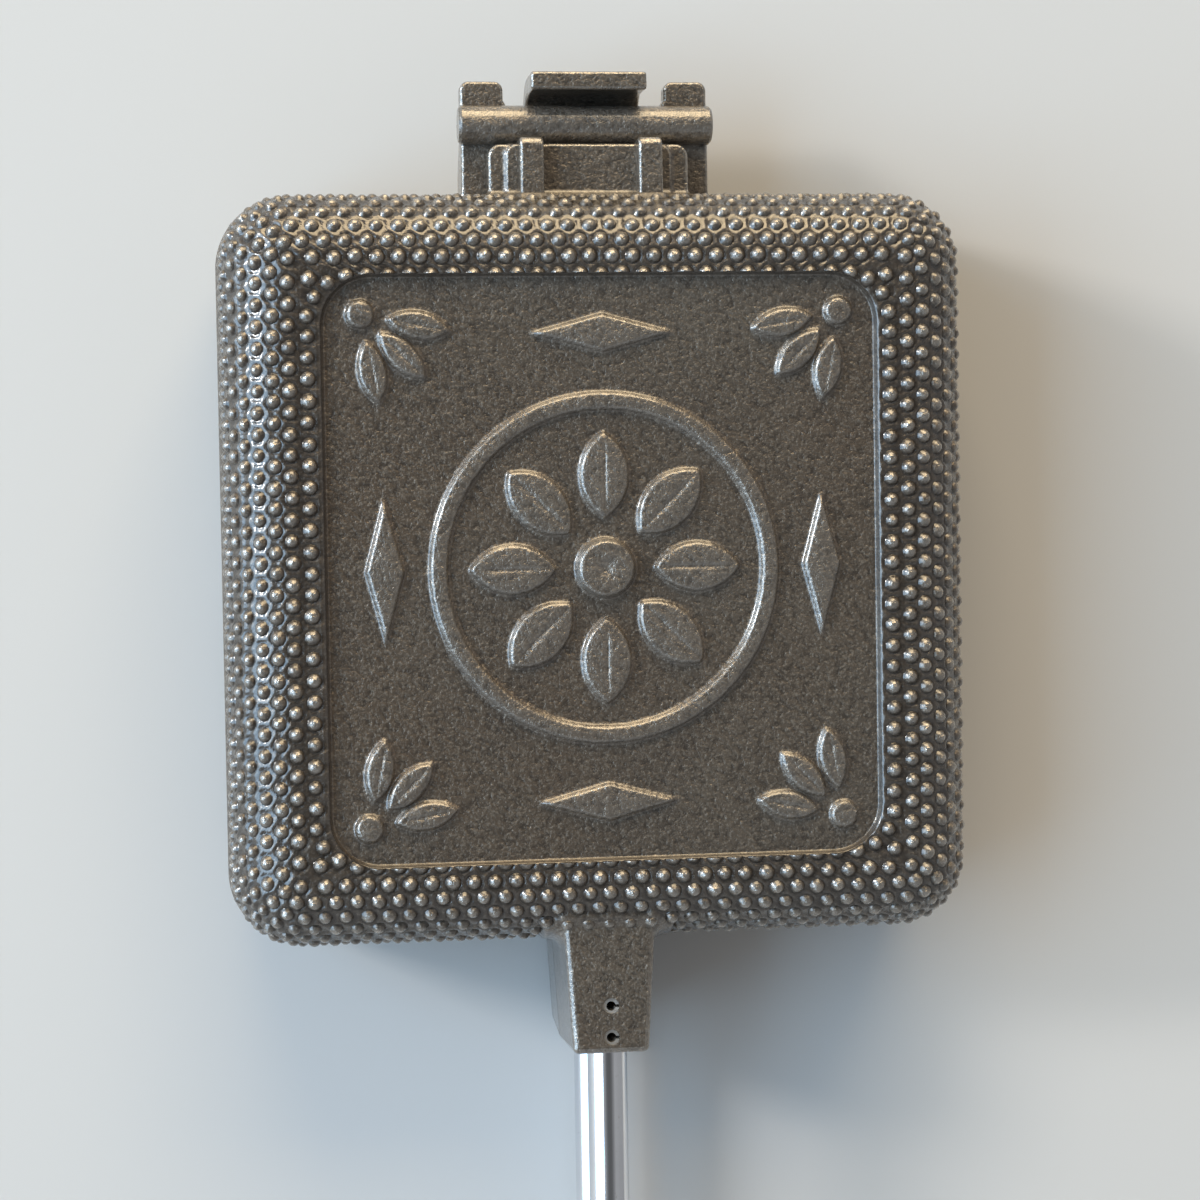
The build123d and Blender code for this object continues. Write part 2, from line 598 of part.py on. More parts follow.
# ---------------------------------------------------------------- latch
def latch_blade():
    """Flat shape of the latch, hooked: origin on the lower rod, +Y to the upper rod."""
    rod_room = ROD_DIAMETER / 2 + LATCH_NOTCH_CLEARANCE
    rim = ROD_SPACING + rod_room + LATCH_RIM
    width = LATCH_LEADING + LATCH_TRAILING
    middle = (LATCH_TRAILING - LATCH_LEADING) / 2
    blade = Pos(middle, rim / 2) * Rectangle(width, rim)
    blade = fillet(blade.vertices().sort_by(Axis.Y)[-2:], LATCH_CORNER)
    blade = blade + Circle(LATCH_HUB)
    ring = Circle(ROD_SPACING + rod_room) - Circle(ROD_SPACING - rod_room)
    mouth = Pos(-rim, ROD_SPACING / 2) * Rectangle(2 * rim, 3 * rim)
    notch = (ring & mouth) + Pos(0, ROD_SPACING) * Circle(rod_room)
    return blade - notch - Circle(ROD_DIAMETER / 2 + LATCH_RUNNING)


def latch():
    """Stamped plate that swings on the lower rod and hooks over the upper one."""
    rod_room = ROD_DIAMETER / 2 + LATCH_NOTCH_CLEARANCE
    rim = ROD_SPACING + rod_room + LATCH_RIM
    plate = extrude(latch_blade(), LATCH_THICKNESS / 2, both=True)
    middle = (LATCH_TRAILING - LATCH_LEADING) / 2
    tab_depth = LATCH_TAB_LENGTH + LATCH_THICKNESS
    tab = Box(LATCH_TAB_WIDTH, LATCH_THICKNESS, tab_depth)
    lift = LATCH_THICKNESS / 2
    tab = Pos(middle, rim - lift, tab_depth / 2 - lift) * tab
    far = tab.edges().filter_by(Axis.Y).sort_by(Axis.Z)[-2:]
    plate = plate + fillet(far, LATCH_CORNER)
    upright = Rot(90, 0, 0) * plate
    lying = Rot(0, LATCH_SWING, 0) * upright
    return Pos(0, LATCH_Y, LOWER_ROD_Z) * lying


def collar(side):
    """Ring pressed on the lower rod beside the latch; side is -1 or 1."""
    offset = LATCH_THICKNESS / 2 + LATCH_SIDE + COLLAR_WIDTH / 2
    middle = LATCH_Y + side * offset
    front = middle + COLLAR_WIDTH / 2
    rear = middle - COLLAR_WIDTH / 2
    ring = rod_along_y(COLLAR_DIAMETER / 2, front, rear, LOWER_ROD_Z)
    ring = chamfer(ring.edges(), COLLAR_EDGE)
    hole = ROD_DIAMETER / 2 + SEAT_CLEARANCE
    return ring - rod_along_y(hole, front + SPARE, rear - SPARE, LOWER_ROD_Z)


# ---------------------------------------------------------------- the pieces
os.makedirs("parts", exist_ok=True)
pieces = {"lower_half": lower_half(), "upper_half": upper_half(), "latch_hook": latch()}
pieces["front_collar"] = collar(1)
pieces["rear_collar"] = collar(-1)
for name, level, outward in (("lower", LOWER_ROD_Z, -1), ("upper", UPPER_ROD_Z, 1)):
    pieces[name + "_rod"] = rod(level)
    pieces[name + "_rear_roll_pin"] = roll_pin(ROLL_PIN_YS[0], outward)
    pieces[name + "_front_roll_pin"] = roll_pin(ROLL_PIN_YS[1], outward)
    pieces[name + "_ferrule"] = ferrule(level)
    pieces[name + "_grip"] = grip(level)
    pieces[name + "_grip_pin"] = grip_pin(level)
for name, shape in pieces.items():
    export_step(shape, "parts/" + name + ".step")
print("bar axis", HINGE_Y, AXIS_Z, "rod axes", LOWER_ROD_Z, UPPER_ROD_Z, "latch", LATCH_Y)
print("grips", GRIP_START_Y, GRIP_END_Y, "roll pins", ROLL_PIN_YS)
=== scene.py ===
# %% [markdown]
# # A long-handled pie iron
# Two square cast-iron shells close round a sandwich and go into the fire on long rods.
# Their outside is covered with small round studs, with a sunk panel in the middle.
# The rods are plated steel, the grips are turned wood, and a small plate near the grips
# hooks one rod to the other.
#
# The sizes and the joints come from the packed CAD parts.  This lesson keeps their places
# and gives each surface the shape detail and the finish that the real thing has.
# Camera, lamps and table are placed in metres.  Further on lengths are millimetres, unless
# it says metres, and heights go outwards from the face where the two shells meet; the last
# step of each piece turns them into metres.

# %% Load the CAD frame
import math

import bpy
import numpy as np
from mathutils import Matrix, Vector


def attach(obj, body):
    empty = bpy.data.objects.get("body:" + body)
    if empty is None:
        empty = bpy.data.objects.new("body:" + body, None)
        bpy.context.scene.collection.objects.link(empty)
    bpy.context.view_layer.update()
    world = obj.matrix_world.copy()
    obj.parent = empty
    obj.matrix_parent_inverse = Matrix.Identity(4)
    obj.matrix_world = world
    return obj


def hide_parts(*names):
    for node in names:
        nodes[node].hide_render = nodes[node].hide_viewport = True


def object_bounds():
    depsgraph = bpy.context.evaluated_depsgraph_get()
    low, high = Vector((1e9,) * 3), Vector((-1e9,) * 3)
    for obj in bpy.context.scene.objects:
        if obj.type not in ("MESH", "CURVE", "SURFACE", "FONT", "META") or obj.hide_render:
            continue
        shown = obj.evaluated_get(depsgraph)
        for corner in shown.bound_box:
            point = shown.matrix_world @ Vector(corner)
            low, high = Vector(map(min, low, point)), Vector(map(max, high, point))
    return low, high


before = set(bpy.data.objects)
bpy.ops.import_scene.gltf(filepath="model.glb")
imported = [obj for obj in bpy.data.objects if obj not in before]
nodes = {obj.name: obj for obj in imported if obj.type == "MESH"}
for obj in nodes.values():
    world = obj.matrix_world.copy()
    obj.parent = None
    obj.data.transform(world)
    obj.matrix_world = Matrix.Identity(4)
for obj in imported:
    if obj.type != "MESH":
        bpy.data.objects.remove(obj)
cad_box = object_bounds()
print("CAD box, metres:", [tuple(round(v, 4) for v in corner) for corner in cad_box])

# %% [markdown]
# ## Camera, light and table
# The iron lies on a table and is looked at from above, a little from its left side and
# close enough for the lens to show some perspective.  A camera is placed by its distance
# and two small tilts.  The part that faces us is the head, so the rods run out of view.

# %% Camera
CAMERA_PLACE = (-0.0658, 0.0149, 0.5202)
CAMERA_TILT = (-2.29, -7.69, -0.94)  # degrees
CAMERA_ANGLE = 24.33

camera = bpy.data.objects.new("camera", bpy.data.cameras.new("camera"))
camera.location = CAMERA_PLACE
camera.rotation_euler = [math.radians(a) for a in CAMERA_TILT]
camera.data.angle = math.radians(CAMERA_ANGLE)
camera.data.clip_start = 0.01
bpy.context.scene.collection.objects.link(camera)
bpy.context.scene.camera = camera
bpy.context.scene.view_settings.view_transform = "Standard"
print("camera angle across the picture:", CAMERA_ANGLE, "degrees")

# %% [markdown]
# Dark, glossy iron shows its form through what it reflects.  A big window on the left gives
# the cool sheen, a small bright lamp beside it the sparks on the studs, and a warm light
# beyond the hinge the golden glints.  All three stand about three metres away, so that they
# light the whole iron evenly.  With the room they light a white card to about white, so
# that every colour renders as it is written.

# %% Lights
def soft_window(name, place, width, height, power, colour):
    """A rectangular lamp of this power in watts, turned to face the origin."""
    lamp = bpy.data.lights.new(name, "AREA")
    lamp.shape = "RECTANGLE"
    lamp.size, lamp.size_y = width, height
    lamp.energy = power
    lamp.color = colour
    holder = bpy.data.objects.new(name, lamp)
    holder.location = place
    holder.rotation_euler = (-Vector(place)).to_track_quat("-Z", "Y").to_euler()
    bpy.context.scene.collection.objects.link(holder)


soft_window("left_window", (-2.9, 0.2, 1.60), 3.4, 3.3, 155, (0.45, 0.71, 1.0))
soft_window("left_lamp", (-2.6, 1.0, 1.35), 0.5, 0.5, 42, (1.0, 0.96, 0.90))
soft_window("hinge_window", (0.2, 2.9, 1.28), 2.5, 2.0, 96, (1.0, 0.80, 0.50))
print("lamps:", len(bpy.data.lights))

# %% [markdown]
# A room is never even all round.  Its walls are bright, the one with the window most of
# all, and the ceiling straight above is dim.  The sky does the same with two straight lines,
# so that glossy iron and polished steel have light and dark stripes.  The table is a plain
# pale sheet.

# %% Table and surroundings
TABLE_COLOUR = (0.62, 0.60, 0.57, 1.0)
TABLE_ROUGHNESS = 0.8
TABLE_HALF = 6.0
TABLE_GAP = 0.0002  # below the iron's lowest point
SKY_COLOUR = (0.93, 0.96, 1.0, 1.0)
WALL_STRENGTH = 0.45
CEILING_STRENGTH = 0.11
WALL_TOP = 0.80  # upward part of the direction in which the walls end
CEILING_EDGE = 0.96  # the same where the ceiling's own strength is reached
WINDOW_SIDE = 1.25  # share of the strength due left, at the windows
FAR_SIDE = 0.75  # the same due right


def room_light():
    """World whose strength is that of the walls up to a steep angle and then falls in a
    straight line to that of the ceiling, times a straight line from left to right."""
    world = bpy.data.worlds.new("room_light")
    world.use_nodes = True
    tree = world.node_tree
    sky = tree.nodes["Background"]
    direction = tree.nodes.new("ShaderNodeTexCoord")
    parts = tree.nodes.new("ShaderNodeSeparateXYZ")
    tree.links.new(direction.outputs["Generated"], parts.inputs["Vector"])
    product = tree.nodes.new("ShaderNodeMath")
    product.operation = "MULTIPLY"
    lines = {"Z": (WALL_TOP, CEILING_EDGE, WALL_STRENGTH, CEILING_STRENGTH),
             "X": (-1.0, 1.0, WINDOW_SIDE, FAR_SIDE)}
    for factor, (axis, values) in zip(product.inputs, lines.items()):
        line = tree.nodes.new("ShaderNodeMapRange")
        for socket, value in zip(line.inputs[1:5], values):
            socket.default_value = value
        tree.links.new(parts.outputs[axis], line.inputs["Value"])
        tree.links.new(line.outputs["Result"], factor)
    tree.links.new(product.outputs["Value"], sky.inputs["Strength"])
    sky.inputs["Color"].default_value = SKY_COLOUR
    return world


bpy.context.scene.world = room_light()

table_mesh = bpy.data.meshes.new("table")
corners = [(-1, -1), (1, -1), (1, 1), (-1, 1)]
corners = [(x * TABLE_HALF, y * TABLE_HALF, 0.0) for x, y in corners]
table_mesh.from_pydata(corners, [], [(0, 1, 2, 3)])
table = bpy.data.objects.new("table", table_mesh)
table.location = (0, 0, cad_box[0][2] - TABLE_GAP)
bpy.context.scene.collection.objects.link(table)
paint = bpy.data.materials.new("table_paint")
paint.use_nodes = True
shader = paint.node_tree.nodes["Principled BSDF"]
shader.inputs["Base Color"].default_value = TABLE_COLOUR
shader.inputs["Roughness"].default_value = TABLE_ROUGHNESS
table_mesh.materials.append(paint)
print("table at height", round(table.location.z, 5))

# %% [markdown]
# ## Small helpers for materials
# A procedural material is a chain of nodes.  These helpers add a node and link it in one
# line, so that each finish below reads as a short recipe.  All patterns are placed by
# Object coordinates in metres, so a grain of a quarter of a millimetre stays that size on
# every piece.

# %% Material helpers
class Recipe:
    """One node material, with its shader, its Object coordinates and short verbs."""

    def __init__(self, name, metallic=0.0, coat=0.0, coat_roughness=0.03, coat_ior=1.5):
        self.material = bpy.data.materials.new(name)
        self.material.use_nodes = True
        self.tree = self.material.node_tree
        self.shader = self.tree.nodes["Principled BSDF"]
        self.feed(self.shader, {"Metallic": metallic, "Coat Weight": coat,
                                "Coat Roughness": coat_roughness, "Coat IOR": coat_ior})
        self.place = self.add("ShaderNodeTexCoord", "Object", {})

    def feed(self, node, values):
        """Link each output to the input it is for, or write a number or a colour there."""
        for key, value in values.items():
            socket = node.inputs[key]
            if isinstance(value, bpy.types.NodeSocket):
                self.tree.links.new(value, socket)
            elif socket.type == "RGBA":
                socket.default_value = (*value, 1.0)
            else:
                socket.default_value = value

    def add(self, kind, output, values, **settings):
        """One output of a new node with these settings and these values for its inputs."""
        node = self.tree.nodes.new(kind)
        for key, setting in settings.items():
            setattr(node, key, setting)
        self.feed(node, values)
        return node.outputs[output]

    def stretched(self, scale):
        """Coordinates multiplied by a scale for each axis."""
        return self.add("ShaderNodeMapping", "Vector", {"Vector": self.place, "Scale": scale})

    def noise(self, size_mm, detail=3.0, rough=0.55, place=None, distortion=0.0):
        """Cloudy pattern whose lumps are about size_mm across, from 0 to 1."""
        return self.add("ShaderNodeTexNoise", "Fac", {
            "Vector": place or self.place, "Scale": 1000.0 / (2.0 * size_mm),
            "Detail": detail, "Roughness": rough, "Distortion": distortion})

    def pits(self, size_mm):
        """Distance from the nearest of many scattered points, in cells of size_mm."""
        values = {"Vector": self.place, "Scale": 1000.0 / size_mm}
        return self.add("ShaderNodeTexVoronoi", "Distance", values)

    def ramp(self, value, low, high, start=0.0, end=1.0):
        """Straight line from start, where value is low, to end, where value is high."""
        return self.add("ShaderNodeMapRange", "Result", {
            "Value": value, "From Min": low, "From Max": high, "To Min": start, "To Max": end})

    def maths(self, operation, first, second):
        return self.add("ShaderNodeMath", "Value", {0: first, 1: second}, operation=operation)

    def mix(self, share, first, second):
        """Colour that goes from first to second as share goes from 0 to 1."""
        values = {"Factor": share, "A": first, "B": second}
        return self.add("ShaderNodeMix", "Result", values, data_type="RGBA")

    def bump(self, height, depth_mm, strength, before=None):
        """Surface lifted by height times depth_mm, over an earlier bump."""
        values = {"Strength": strength, "Distance": depth_mm / 1000.0, "Height": height}
        if before is not None:
            values["Normal"] = before
        return self.add("ShaderNodeBump", "Normal", values)

    def finish(self, colour, roughness, normal):
        self.feed(self.shader, {"Base Color": colour, "Roughness": roughness, "Normal": normal})
        return self.material


print("verbs of a recipe:", [verb for verb in vars(Recipe) if not verb.startswith("_")])

# %% [markdown]
# ## Seasoned cast iron
# Sand-cast iron has a fine, even grain, a quarter of a millimetre across, from the sand of
# the mould.  Oil baked on in use turns it from grey to a warm brown-black with a low gloss,
# thicker and smoother in the valleys and rubbed thin on everything that stands proud.  The
# valleys, the moats and the lower sides of the studs are also painted darker, as painted
# shade.  One attribute tells the recipe how proud a point is: 1 on the tips of the studs, 0 on
# plain skin, -1 in the valleys, where it brings both the oil and the painted shade.

# %% Cast iron
def seasoned_iron():
    iron = Recipe("seasoned_cast_iron", coat=0.8, coat_roughness=0.12, coat_ior=1.7)
    # the attribute: rubbing above 0, oil with painted shade below 0
    wear = iron.add("ShaderNodeAttribute", "Fac", {}, attribute_name="wear")
    grain = iron.noise(0.26, detail=2.0, rough=0.6)
    sand = iron.noise(0.6, rough=0.65)
    lumps = iron.noise(2.2, rough=0.6)
    cloud = iron.noise(7.0, detail=4.0, rough=0.6)
    patch = iron.noise(32.0, rough=0.5)
    pit = iron.pits(1.7)
    seasoned = iron.mix(iron.ramp(patch, 0.35, 0.65), (0.122, 0.089, 0.061), (0.142, 0.117, 0.090))
    seasoned = iron.mix(iron.ramp(cloud, 0.38, 0.68, 0.0, 0.5), seasoned, (0.070, 0.053, 0.038))
    seasoned = iron.mix(iron.ramp(sand, 0.52, 0.36, 0.0, 0.6), seasoned, (0.026, 0.020, 0.015))
    speckled = iron.mix(iron.ramp(grain, 0.50, 0.70, 0.0, 0.6), seasoned, (0.30, 0.255, 0.20))
    # Painted shade: below 0, in the valleys, the moats and on the studs' lower sides, the colour
    # goes towards near-black brown.
    valley_oil_and_shade = iron.ramp(wear, 0.0, -1.0, 0.0, 0.9)
    oiled_and_shaded = iron.mix(valley_oil_and_shade, speckled, (0.030, 0.022, 0.016))
    proud = iron.ramp(wear, 0.25, 1.0)
    rubbed = iron.maths("MULTIPLY", proud, iron.ramp(sand, 0.3, 0.6, 0.35, 1.0))
    bare = iron.mix(rubbed, oiled_and_shaded, (0.40, 0.36, 0.31))
    iron.feed(iron.shader, {"Metallic": iron.ramp(rubbed, 0.0, 1.0, 0.45, 0.9)})
    dull = iron.ramp(cloud, 0.3, 0.7, 0.30, 0.42)
    dull = iron.maths("ADD", dull, iron.ramp(wear, 0.0, 1.0, 0.0, -0.15))
    dull = iron.maths("ADD", dull, iron.ramp(wear, 0.0, -1.0, 0.0, -0.10))
    plain = iron.ramp(wear, 0.0, -0.6, 1.0, 0.55)
    relief = iron.bump(lumps, 0.22, 0.8)
    relief = iron.bump(iron.maths("MULTIPLY", sand, plain), 0.42, 0.9, relief)
    relief = iron.bump(iron.maths("MULTIPLY", grain, plain), 0.16, 0.9, relief)
    relief = iron.bump(iron.ramp(pit, 0.0, 0.22), 0.08, 0.6, relief)
    return iron.finish(bare, dull, relief)


cast_iron = seasoned_iron()
print("material:", cast_iron.name)

# %% [markdown]
# ## The shell's outside as numbers
# Seen from above, every level line of a shell is a rounded rectangle.  Seen in section it is
# a flat ring, a quarter-round dome and a nearly upright wall.  These few numbers repeat the
# CAD part's sizes, so that the detailed skin lies where its solid does.

# %% Sizes of the shell, in millimetres
HALF_HEIGHT = 20.0
RING_END = 54.286  # half width where the flat ring turns into the dome
RING_END_CORNER = 0.786
DOME_RADIUS = 12.0
WALL_DRAFT = math.radians(1.5)
RIM_HALF = 66.5
RIM_START = 0.616  # the wall ends here in the small rounding of the rim
DOME_SWEEP = math.pi / 2 - WALL_DRAFT
CORNER_CENTRE = 53.5
PANEL_ACROSS = 49.0
PANEL_ALONG = 51.5
PANEL_CORNER = 9.0
PANEL_DEPTH = 2.2
VALLEY_DEPTH = 0.9  # plain skin of the solid between the studs, below their tips
MOAT_DEPTH = 1.04  # detailed skin close to a stud
NET_DEPTH = 0.70  # detailed skin midway between the studs
SEAM_INSET = 0.95  # the panel's own surface starts this far inside its edge
PANEL_CELLS = 304  # cells along one side of the panel's surface
TOUCH = 0.03  # surfaces closer than this are one
ABOVE_TIPS = 0.12  # the studded band reaches this far above the tips' surface
BELOW_SKIN = 0.2  # and this far below the plain skin
PANEL_PLAY = 0.02  # the panel's box is larger by this on every side
SIDE_START = 50.0  # the socket and the hinge lie beyond this, along the rods
# Blocks, seen from the middle of a half: side (-1 socket, 1 hinge), nearest and farthest
# distance from the middle plane, and top
SOCKET_PAD = (-1, 0.0, 11.4, 17.6)
HINGE_PAD = (1, 0.0, 23.8, 10.4)
HALVES = {"upper": 1, "lower": -1}  # which way outwards is, along z
PARTING = {"upper": 20.3, "lower": 20.0}  # height of the parting face in the frame


def rounded_border(across, along, corner, edge_x, edge_y):
    """Send a point on the border of the unit square to a rounded rectangle: scale it by the
    half widths; where both coordinates lie in the last `corner` before the ends, bend the
    square's two straight pieces into a quarter circle of equal share."""
    x, y = edge_x * across, edge_y * along
    over_x = np.abs(x) - (across - corner)
    over_y = np.abs(y) - (along - corner)
    in_corner = (over_x > 0) & (over_y > 0)
    large, small = np.maximum(over_x, over_y), np.minimum(over_x, over_y)
    angle = math.pi / 4 * np.where(in_corner, small / np.maximum(large, 1e-9), 0.0)
    long_part, short_part = corner * np.cos(angle), corner * np.sin(angle)
    bent_x = np.where(over_x >= over_y, long_part, short_part)
    bent_y = np.where(over_x >= over_y, short_part, long_part)
    x = np.where(in_corner, np.sign(x) * (across - corner + bent_x), x)
    y = np.where(in_corner, np.sign(y) * (along - corner + bent_y), y)
    return x, y


def square_border(cells):
    """Points round the border of the unit square, counter-clockwise, `cells` to a side."""
    step = np.arange(cells) * 2.0 / cells - 1.0
    one = np.ones(cells)
    x = np.concatenate([one, -step, -one, step])
    y = np.concatenate([step, one, -step, -one])
    return x, y


print("points round the shell:", 4 * PANEL_CELLS)

# %% [markdown]
# ## Writing a mesh and placing it
# numpy works out all points at once; `foreach_set` hands them to Blender in one go.  The
# lower shell is the upper one turned over by a mirror, which also turns every face inside
# out, so the corners of its faces are listed backwards.

# %% Mesh helpers
def new_mesh(name, points, face_groups):
    """Mesh from points and from one array of faces for each number of corners.  The corner
    lists are joined end to end, and each face starts where the one before it stops."""
    mesh = bpy.data.meshes.new(name)
    sizes = np.concatenate([np.full(len(group), group.shape[1]) for group in face_groups])
    corners = np.concatenate([group.ravel() for group in face_groups])
    mesh.vertices.add(len(points))
    mesh.vertices.foreach_set("co", np.asarray(points, np.float32).ravel())
    mesh.loops.add(len(corners))
    mesh.loops.foreach_set("vertex_index", corners.astype(np.int32))
    mesh.polygons.add(len(sizes))
    mesh.polygons.foreach_set("loop_start", (np.cumsum(sizes) - sizes).astype(np.int32))
    mesh.polygons.foreach_set("use_smooth", np.ones(len(sizes), bool))
    mesh.update(calc_edges=True)
    mesh.validate()
    return mesh


# Values for the iron's recipe: rubbing above 0, oil with painted shade below 0.
def set_wear(mesh, values, domain="POINT"):
    attribute = mesh.attributes.new("wear", "FLOAT", domain)
    attribute.data.foreach_set("value", np.asarray(values, np.float32).ravel())


def show(half, mesh):
    """Make a piece of cast iron that rides on one half of the CAD frame in place of the
    plain casting."""
    body, slot, replaced = half + "_iron", "cast_iron", half + "_half"
    piece = bpy.data.objects.new(mesh.name, mesh)
    bpy.context.scene.collection.objects.link(piece)
    mesh.materials.append(cast_iron)
    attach(piece, body)
    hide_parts(replaced)
    print(mesh.name, len(mesh.vertices), "points,", len(mesh.polygons), "faces")


def to_frame(points, half):
    """Millimetres from the parting face, outwards, to metres in the shared frame."""
    placed = np.array(points, float)
    placed[..., 2] = PARTING[half] + HALVES[half] * placed[..., 2]
    return placed * 0.001


def cast(half, name, points, face_groups, wear):
    """Make one surface of a half from its points, its faces and the value of each point for the
    iron's recipe: rubbing above 0, oil and painted shade below 0.
    """
    faces = [group[:, ::HALVES[half]] for group in face_groups]
    mesh = new_mesh(half + name, to_frame(points, half).reshape(-1, 3), faces)
    set_wear(mesh, wear)
    show(half, mesh)


print("top of the upper shell, metres:", to_frame([0.0, 0.0, HALF_HEIGHT], "upper"))

# %% [markdown]
# ## What the CAD casting keeps
# The rim, the hollow for the food, the rod socket and the hinge have the right form in the
# CAD mesh already.  A copy of it gives up its plain studs with the skin between them and its
# sunk panel, which get finer surfaces of their own, and keeps the rest with the exact
# directions of its curved faces.  The loose triangles are joined at shared corners first.

# %% Read a CAD casting
CUT_STEPS = 25  # points along one side of a triangle on the cut


def by_three(items, key, kind):
    """One value of three numbers from each of the items, as an (n, 3) array."""
    values = np.empty(len(items) * 3, kind)
    items.foreach_get(key, values)
    return values.reshape(-1, 3)


def cad_triangles(node):
    """Corner places in metres and corner directions of every triangle, both (n, 3, 3)."""
    mesh = nodes[node].data
    mesh.calc_loop_triangles()
    places = by_three(mesh.vertices, "co", np.float32)
    directions = by_three(mesh.corner_normals, "vector", np.float32)
    places = places[by_three(mesh.loop_triangles, "vertices", np.int32)]
    directions = directions[by_three(mesh.loop_triangles, "loops", np.int32)]
    return places.astype(float), directions.astype(float)


def from_parting(places, half):
    """Metres in the shared frame to millimetres outwards from the parting face."""
    local = places * 1000.0
    local[..., 2] = HALVES[half] * (local[..., 2] - PARTING[half])
    return local


def in_block(local, side, near, far, top):
    """True in one of the blocks that lie round the socket or round the hinge."""
    x, y, z = np.abs(local[..., 0]), side * local[..., 1], local[..., 2]
    return (y > SIDE_START) & (x >= near) & (x < far) & (z < top)


def above_outside(local):
    """Distance above the surface of the studs' tips, negative below it.  The distance from
    the square of corner centres gives the section: there the ring and the wall are straight
    and the dome is a circle."""
    over = np.abs(local[..., :2]) - CORNER_CENTRE
    spread = np.hypot(np.maximum(over[..., 0], 0), np.maximum(over[..., 1], 0))
    spread = spread + np.minimum(np.maximum(over[..., 0], over[..., 1]), 0)
    height = local[..., 2]
    rise = height - (HALF_HEIGHT - DOME_RADIUS)
    beyond = spread - RIM_HALF + CORNER_CENTRE
    wall = beyond * math.cos(WALL_DRAFT) + height * math.sin(WALL_DRAFT)
    dome = np.hypot(spread - RING_END_CORNER, rise) - DOME_RADIUS
    on_wall = rise < DOME_RADIUS * math.sin(WALL_DRAFT)
    return np.where(on_wall, wall, np.where(spread > RING_END_CORNER, dome, height - HALF_HEIGHT))


def in_band(local):
    """True on the studs and on the skin between them.  On the plain pads of the socket and
    of the hinge only the surface itself counts, because their roundings start there."""
    pad = in_block(local, *SOCKET_PAD) | in_block(local, *HINGE_PAD)
    above = above_outside(local)
    studded = (above > -VALLEY_DEPTH - BELOW_SKIN) & (above < ABOVE_TIPS)
    near = np.where(pad, np.abs(above) < TOUCH, studded)
    return near & (local[..., 2] > RIM_START - TOUCH)


def in_panel(local):
    """True in the sunk panel, its walls and its raised ornament."""
    across = np.abs(local[..., 0]) < PANEL_ACROSS + PANEL_PLAY
    along = np.abs(local[..., 1]) < PANEL_ALONG + PANEL_PLAY
    return across & along & (local[..., 2] > HALF_HEIGHT - PANEL_DEPTH - PANEL_PLAY)


def split_casting(half):
    """Triangles of a casting without its studded band and panel, and points every half
    millimetre along the cut where the socket and the hinge leave the surface of the tips."""
    places, directions = cad_triangles(half + "_half")
    local = from_parting(places, half)
    kept = ~(in_band(local) | in_panel(local)).all(axis=1)
    outside = (np.abs(above_outside(local)) < TOUCH) & (local[..., 2] > 2 * RIM_START)
    on_cut = outside[kept] & np.roll(outside[kept], -1, axis=1)
    starts = local[kept][on_cut]
    ends = np.roll(local[kept], -1, axis=1)[on_cut]
    steps = np.linspace(0.0, 1.0, CUT_STEPS)[:, None, None]
    cut = (starts + (ends - starts) * steps).reshape(-1, 3)
    cut = np.unique(np.round(cut * 2.0), axis=0) / 2.0
    return places[kept], directions[kept], cut


EDGE_RADIUS = 0.0017  # metres: anything rounder than this is an edge
BAR_RADIUS = 0.0040  # metres: as round as the hinge bar
LEAST_TURN = 0.12  # radians across one triangle; less than this is flat
EDGE_WEAR = 0.75
BAR_WEAR = 0.45


def edge_wear(places, directions):
    """How rubbed each triangle is, from the radius of its outward rounding, which is the
    length of a side over the turn of its direction."""
    step = np.roll(places, -1, axis=1) - places
    turn = np.roll(directions, -1, axis=1) - directions
    length = np.linalg.norm(step, axis=2)
    angle = np.linalg.norm(turn, axis=2)
    outward = (step * turn).sum(axis=2) > 0
    rounding = (angle > LEAST_TURN) & outward
    edge = (rounding & (length < EDGE_RADIUS * angle)).any(axis=1)
    bar = (rounding & (length < BAR_RADIUS * angle)).any(axis=1)
    return np.where(edge, EDGE_WEAR, np.where(bar, BAR_WEAR, 0.0))


def fittings(half):
    """Rim, hollow, socket and hinge of one casting, joined at shared corners."""
    places, directions, cut = split_casting(half)
    flat = places.reshape(-1, 3)
    keys = np.round(flat * 1e6).astype(np.int64)
    _, first, index = np.unique(keys, axis=0, return_index=True, return_inverse=True)
    faces = index.reshape(-1, 3)
    whole = (faces != np.roll(faces, -1, axis=1)).all(axis=1)
    faces = faces[whole]
    mesh = new_mesh(half + "_hinge_and_rim", flat[first], [faces])
    mesh.normals_split_custom_set(directions[whole].reshape(-1, 3).tolist())
    set_wear(mesh, edge_wear(places[whole], directions[whole]), "FACE")
    show(half, mesh)
    return cut


cuts = {half: fittings(half) for half in HALVES}
print("points along the cuts:", [len(cut) for cut in cuts.values()])

# %% [markdown]
# ## The places of the studs
# More than a thousand round studs cover the band.  They stand in rows that follow the rim,
# each row shifted by half a step against the next, and at the corners the rows spread and
# leave room for a few odd ones, as on a hand-cut pattern.  Their places are worked out
# first, because the skin between them is shaped round every one.

# %% Where the studs stand
STUD_PITCH = 3.7
ROW_STEP = 3.16  # the second row stands on the end of the flat ring
ROW_COUNT = 9
FIRST_CORNER = 8.0  # plan radius of the first row, round the panel's corner
MOST_STEPS = 40  # more than a side has from its middle to its end
END_ROOM = 0.3  # share of a step left free at the end of a side
STUD_ROOM = 3.25  # an odd stud keeps this from its neighbours
PANEL_ROOM = 0.6  # and this from the panel's edge


